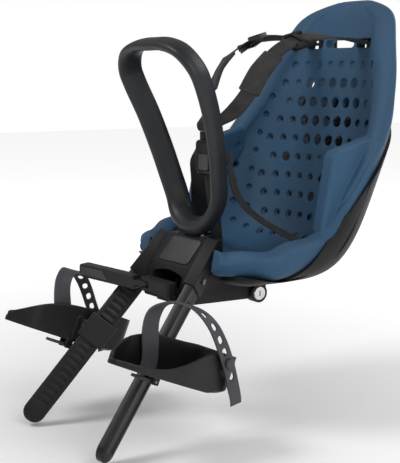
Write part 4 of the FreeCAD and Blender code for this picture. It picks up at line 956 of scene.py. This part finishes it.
@dataclass
class Handle:
    """Grab handle: a closed loop of oval section that leans forward and bows back at mid height."""

    bench: Bench
    foot: Tuple[float, float, float] = (0.0, 43.0, 66.0)
    lean: float = 15.5
    deep: float = 32.0
    flare: float = 20.0
    flatness: float = 0.86
    steps: int = 9
    around: int = 28
    # Stations from the top to the foot: place aside, height, set-back and thickness in millimetres
    half: Tuple[Tuple[float, float, float, float], ...] = (
        (0.0, 248.0, 0.0, 15.0), (30.0, 247.0, 1.0, 15.0), (58.0, 238.0, 2.0, 15.0),
        (76.0, 218.0, 5.0, 15.0), (79.0, 196.0, 9.0, 14.0), (73.0, 155.0, 15.0, 14.0),
        (64.0, 108.0, 17.0, 14.0), (56.0, 72.0, 16.0, 14.0), (48.0, 42.0, 14.0, 16.0),
        (35.0, 18.0, 6.0, 19.0), (16.0, 5.0, 1.0, 23.0), (0.0, 3.0, 0.0, 23.0),
    )

    def _rings(self) -> List[Tuple[Vector, float]]:
        """Places and thicknesses round the loop.

        Returns:
            Centre in metres and thickness in metres of each ring.
        """
        other = [(-side, height, back, thick) for side, height, back, thick in reversed(self.half[1:-1])]
        stations = [Vector(row) for row in (*self.half, *other)]
        angle = math.radians(self.lean)
        up = Vector((0.0, -math.sin(angle), math.cos(angle)))
        rings: List[Tuple[Vector, float]] = []
        for i, here in enumerate(stations):
            before, after = stations[i - 1], stations[(i + 1) % len(stations)]
            beyond = stations[(i + 2) % len(stations)]
            for k in range(self.steps):
                t = k / self.steps
                t2, t3 = t * t, t * t * t
                row = (here * (2 * t3 - 3 * t2 + 1) + (after - before) * (0.5 * (t3 - 2 * t2 + t))
                       + after * (3 * t2 - 2 * t3) + (beyond - here) * (0.5 * (t3 - t2)))
                place = Vector(self.foot) + Vector((row[0], row[2], 0.0)) + up * row[1]
                rings.append((place * MM, row[3] * MM))
        return rings

    def build(self) -> None:
        """Shape a ring of oval sections along the loop."""
        rings = self._rings()
        bpy.ops.object.select_all(action="DESELECT")
        bpy.ops.mesh.primitive_torus_add(major_segments=len(rings), minor_segments=self.around)
        loop = bpy.context.object
        loop.name = "grab_handle"
        loop.data.name = "grab_handle"
        angle = math.radians(self.lean)
        up = Vector((0.0, -math.sin(angle), math.cos(angle)))
        facing = Vector((0.0, -math.cos(angle), -math.sin(angle)))
        for i, (centre, thick) in enumerate(rings):
            run = (rings[(i + 1) % len(rings)][0] - rings[i - 1][0]).normalized()
            aside = facing.cross(run).normalized()
            swing = math.radians(self.flare) * abs(run.dot(up))
            radial = aside * math.cos(swing) - run.cross(aside) * math.sin(swing)
            depth = run.cross(radial)
            for j in range(self.around):
                turn = 2.0 * math.pi * j / self.around
                out = math.copysign(abs(math.cos(turn)) ** self.flatness, math.cos(turn))
                fore = math.copysign(abs(math.sin(turn)) ** self.flatness, math.sin(turn))
                loop.data.vertices[i * self.around + j].co = (
                    centre + radial * (out * thick / 2) + depth * (fore * self.deep * MM / 2))
        self.bench.alone(loop)
        bpy.ops.object.mode_set(mode="EDIT")
        bpy.ops.mesh.select_all(action="SELECT")
        bpy.ops.mesh.normals_make_consistent(inside=False)
        bpy.ops.object.mode_set(mode="OBJECT")
        self.bench.settle(loop, ["handle_loop"], 180.0)


@dataclass
class Feet:
    """Legs, foot cups, latches and foot straps."""

    bench: Bench
    top: Tuple[float, float, float] = (52.4, 36.0, 47.0)
    foot: Tuple[float, float, float] = (95.7, -161.2, -185.8)
    turn: float = 30.0
    cup_heel: Tuple[float, float, float] = (121.0, -14.0, -122.0)
    cup_toe: Tuple[float, float, float] = (137.0, -178.0, -53.0)
    cup_height: float = 51.0
    heel_reach: float = 30.0
    heel_lift: float = 20.0
    side_lift: float = 12.0
    most_lift: float = 26.0
    flat_half: float = 14.0
    side_reach: float = 19.0
    side_end: float = 44.0
    side_fade: float = 16.0
    clip_from: float = 46.0
    clip_side: float = -36.0

    def heel(self, cup: bpy.types.Object, mirror: bool) -> None:
        """Curve a cup's sole up towards its heel and its rear sides.

        Args:
            cup: Cup with an even mesh.
            mirror: Whether the cup is the mirrored one.
        """
        toe = (Vector(self.cup_toe) - Vector(self.cup_heel)).normalized()
        out = (Vector((1.0, 0.0, 0.0)) - toe * toe.x).normalized()
        up = toe.cross(out)
        flip = Vector((-1.0, 1.0, 1.0)) if mirror else Vector((1.0, 1.0, 1.0))
        for vertex in cup.data.vertices:
            place = vertex.co * flip / MM
            offset = place - Vector(self.cup_heel)
            along, aside, high = offset.dot(toe), offset.dot(out), offset.dot(up)
            if along > self.clip_from or aside < self.clip_side or high > self.cup_height:
                continue
            end = min(1.0, max(0.0, 1.0 - along / self.heel_reach))
            edge = min(1.0, max(0.0, (abs(aside) - self.flat_half) / self.side_reach))
            edge *= min(1.0, max(0.0, (self.side_end - along) / self.side_fade))
            lift = (self.heel_lift * (1.0 - math.sqrt(1.0 - end * end))
                    + self.side_lift * (1.0 - math.sqrt(1.0 - edge * edge)))
            place = place + up * (min(lift, self.most_lift) * (1.0 - max(0.0, high) / self.cup_height))
            vertex.co = place * flip * MM

    def channel(self, mirror: bool) -> bpy.types.Object:
        """Block that carves the long channel in a leg's outward face.

        Args:
            mirror: Whether the leg is the mirrored one.

        Returns:
            The block at its place.
        """
        top, foot = Vector(self.top) * MM, Vector(self.foot) * MM
        along = (foot - top).normalized()
        outboard = (Vector((1.0, 0.0, 0.0)) - along * along.x).normalized()
        front = along.cross(outboard)
        angle = math.radians(self.turn)
        wide = outboard * math.sin(angle) + front * math.cos(angle)
        start, stop = 84.0 * MM, (foot - top).length - 15.0 * MM
        tool = self.bench.block((17.0 * MM, stop - start, 3.0 * MM), (0.0, (start + stop) / 2, 0.0))
        self.bench.apply(tool, "BEVEL", width=1.2 * MM, segments=2)
        outward = wide.cross(along)
        origin = top + outward * (6.0 * MM)
        if mirror:
            origin.x, wide.x, along.x = -origin.x, -wide.x, -along.x
        self.bench.put(tool, origin, wide, along)
        return tool

    def build(self) -> None:
        """Round and dress the legs and all that they carry."""
        self.bench.keep("leg_screws")
        for side, mirror in (("left", False), ("right", True)):
            leg = self.bench.copy(side + "_leg", side + "_leg_bar")
            self.bench.carve(leg, self.channel(mirror))
            self.bench.apply(leg, "BEVEL", width=0.6 * MM, segments=2, limit_method="ANGLE",
                             angle_limit=math.radians(32.0))
            self.bench.settle(leg, [side + "_leg"], 40.0)
            self.bench.moulded(side + "_footrest", 0.9 * MM, 5, 0.4, lambda cup: self.heel(cup, mirror))
            self.bench.rounded(side + "_footrest_latch", 0.6 * MM)
            self.bench.rounded(side + "_foot_strap", 0.6 * MM)
            self.bench.rounded(side + "_strap_peg", 0.8 * MM)
            self.bench.keep(side + "_latch_pin")


@dataclass
class Studio:
    """Floor, lights and camera."""

    eye: Tuple[float, float, float] = (1.1747, -0.7725, 0.2655)
    aim: Tuple[float, float, float] = (0.0, 0.050, 0.060)
    lens: float = 84.64
    ambient: float = 0.34
    glow: float = 0.6

    def _face(self, obj: bpy.types.Object, target: Vector) -> None:
        """Turn a light or camera towards a point."""
        obj.rotation_euler = (target - obj.location).to_track_quat("-Z", "Y").to_euler()

    def _light(self, name: str, place: Tuple[float, float, float], size: float, power: float) -> None:
        """Add a soft square light that looks at the seat.

        Args:
            name: Name of the light.
            place: Where it stands.
            size: Length of its side.
            power: Its power in watts.
        """
        data = bpy.data.lights.new(name, "AREA")
        data.size = size
        data.energy = power
        light = bpy.data.objects.new(name, data)
        bpy.context.scene.collection.objects.link(light)
        light.location = place
        self._face(light, Vector(self.aim))

    def _floor(self) -> None:
        """Lay a pale floor that brightens into the white background far from the seat."""
        bpy.ops.object.select_all(action="DESELECT")
        bpy.ops.mesh.primitive_plane_add(size=14.0)
        floor = bpy.context.object
        floor.name = "studio_floor"
        for vertex in floor.data.vertices:
            vertex.co.z = CAD_BOX[0][2] - 0.004
        graph = Graph("studio_floor")
        graph.shader.inputs["Base Color"].default_value = (0.93, 0.93, 0.93, 1.0)
        graph.shader.inputs["Roughness"].default_value = 0.9
        graph.shader.inputs["Emission Color"].default_value = (1.0, 1.0, 1.0, 1.0)
        coords = graph.add("ShaderNodeTexCoord")
        reach = graph.add("ShaderNodeVectorMath", operation="LENGTH")
        graph.link(coords.outputs["Object"], reach.inputs[0])
        fade = graph.add("ShaderNodeMapRange")
        fade.inputs["From Min"].default_value = 0.2
        fade.inputs["From Max"].default_value = 1.7
        fade.inputs["To Max"].default_value = self.glow
        graph.link(reach.outputs["Value"], fade.inputs["Value"])
        graph.link(fade.outputs["Result"], graph.shader.inputs["Emission Strength"])
        floor.data.materials.append(graph.material)

    def _world(self) -> None:
        """Light the seat softly from all round, before a white background."""
        world = bpy.data.worlds.new("studio")
        world.use_nodes = True
        tree = world.node_tree
        sky = tree.nodes["Background"]
        sky.inputs["Color"].default_value = (1.0, 1.0, 1.0, 1.0)
        rays = tree.nodes.new("ShaderNodeLightPath")
        level = tree.nodes.new("ShaderNodeMapRange")
        level.inputs["To Min"].default_value = self.ambient
        level.inputs["To Max"].default_value = 1.0
        tree.links.new(rays.outputs["Is Camera Ray"], level.inputs["Value"])
        tree.links.new(level.outputs["Result"], sky.inputs["Strength"])
        bpy.context.scene.world = world

    def build(self) -> None:
        """Set the pale floor, the soft lights and the camera."""
        self._floor()
        self._world()
        bpy.context.scene.view_settings.view_transform = "Standard"
        self._light("key", (-0.5, -1.4, 2.0), 0.9, 24.0)
        self._light("fill", (2.0, -0.2, 1.3), 1.3, 21.0)
        self._light("back", (0.6, 1.9, 1.6), 1.1, 16.0)
        data = bpy.data.cameras.new("photo_camera")
        data.lens = self.lens
        data.sensor_width = 36.0
        data.clip_start = 0.05
        camera = bpy.data.objects.new("photo_camera", data)
        bpy.context.scene.collection.objects.link(camera)
        camera.location = self.eye
        self._face(camera, Vector(self.aim))
        bpy.context.scene.camera = camera


def main() -> None:
    """Build every sub-assembly and the studio."""
    logging.basicConfig(level=logging.INFO, format="%(name)s: %(message)s")
    bench = Bench(Shelf())
    for assembly in (Bucket(bench), Harness(bench), Front(bench), Handle(bench), Feet(bench), Studio()):
        assembly.build()
        LOG.info("%s done", type(assembly).__name__)


if __name__ == "__main__":
    main()
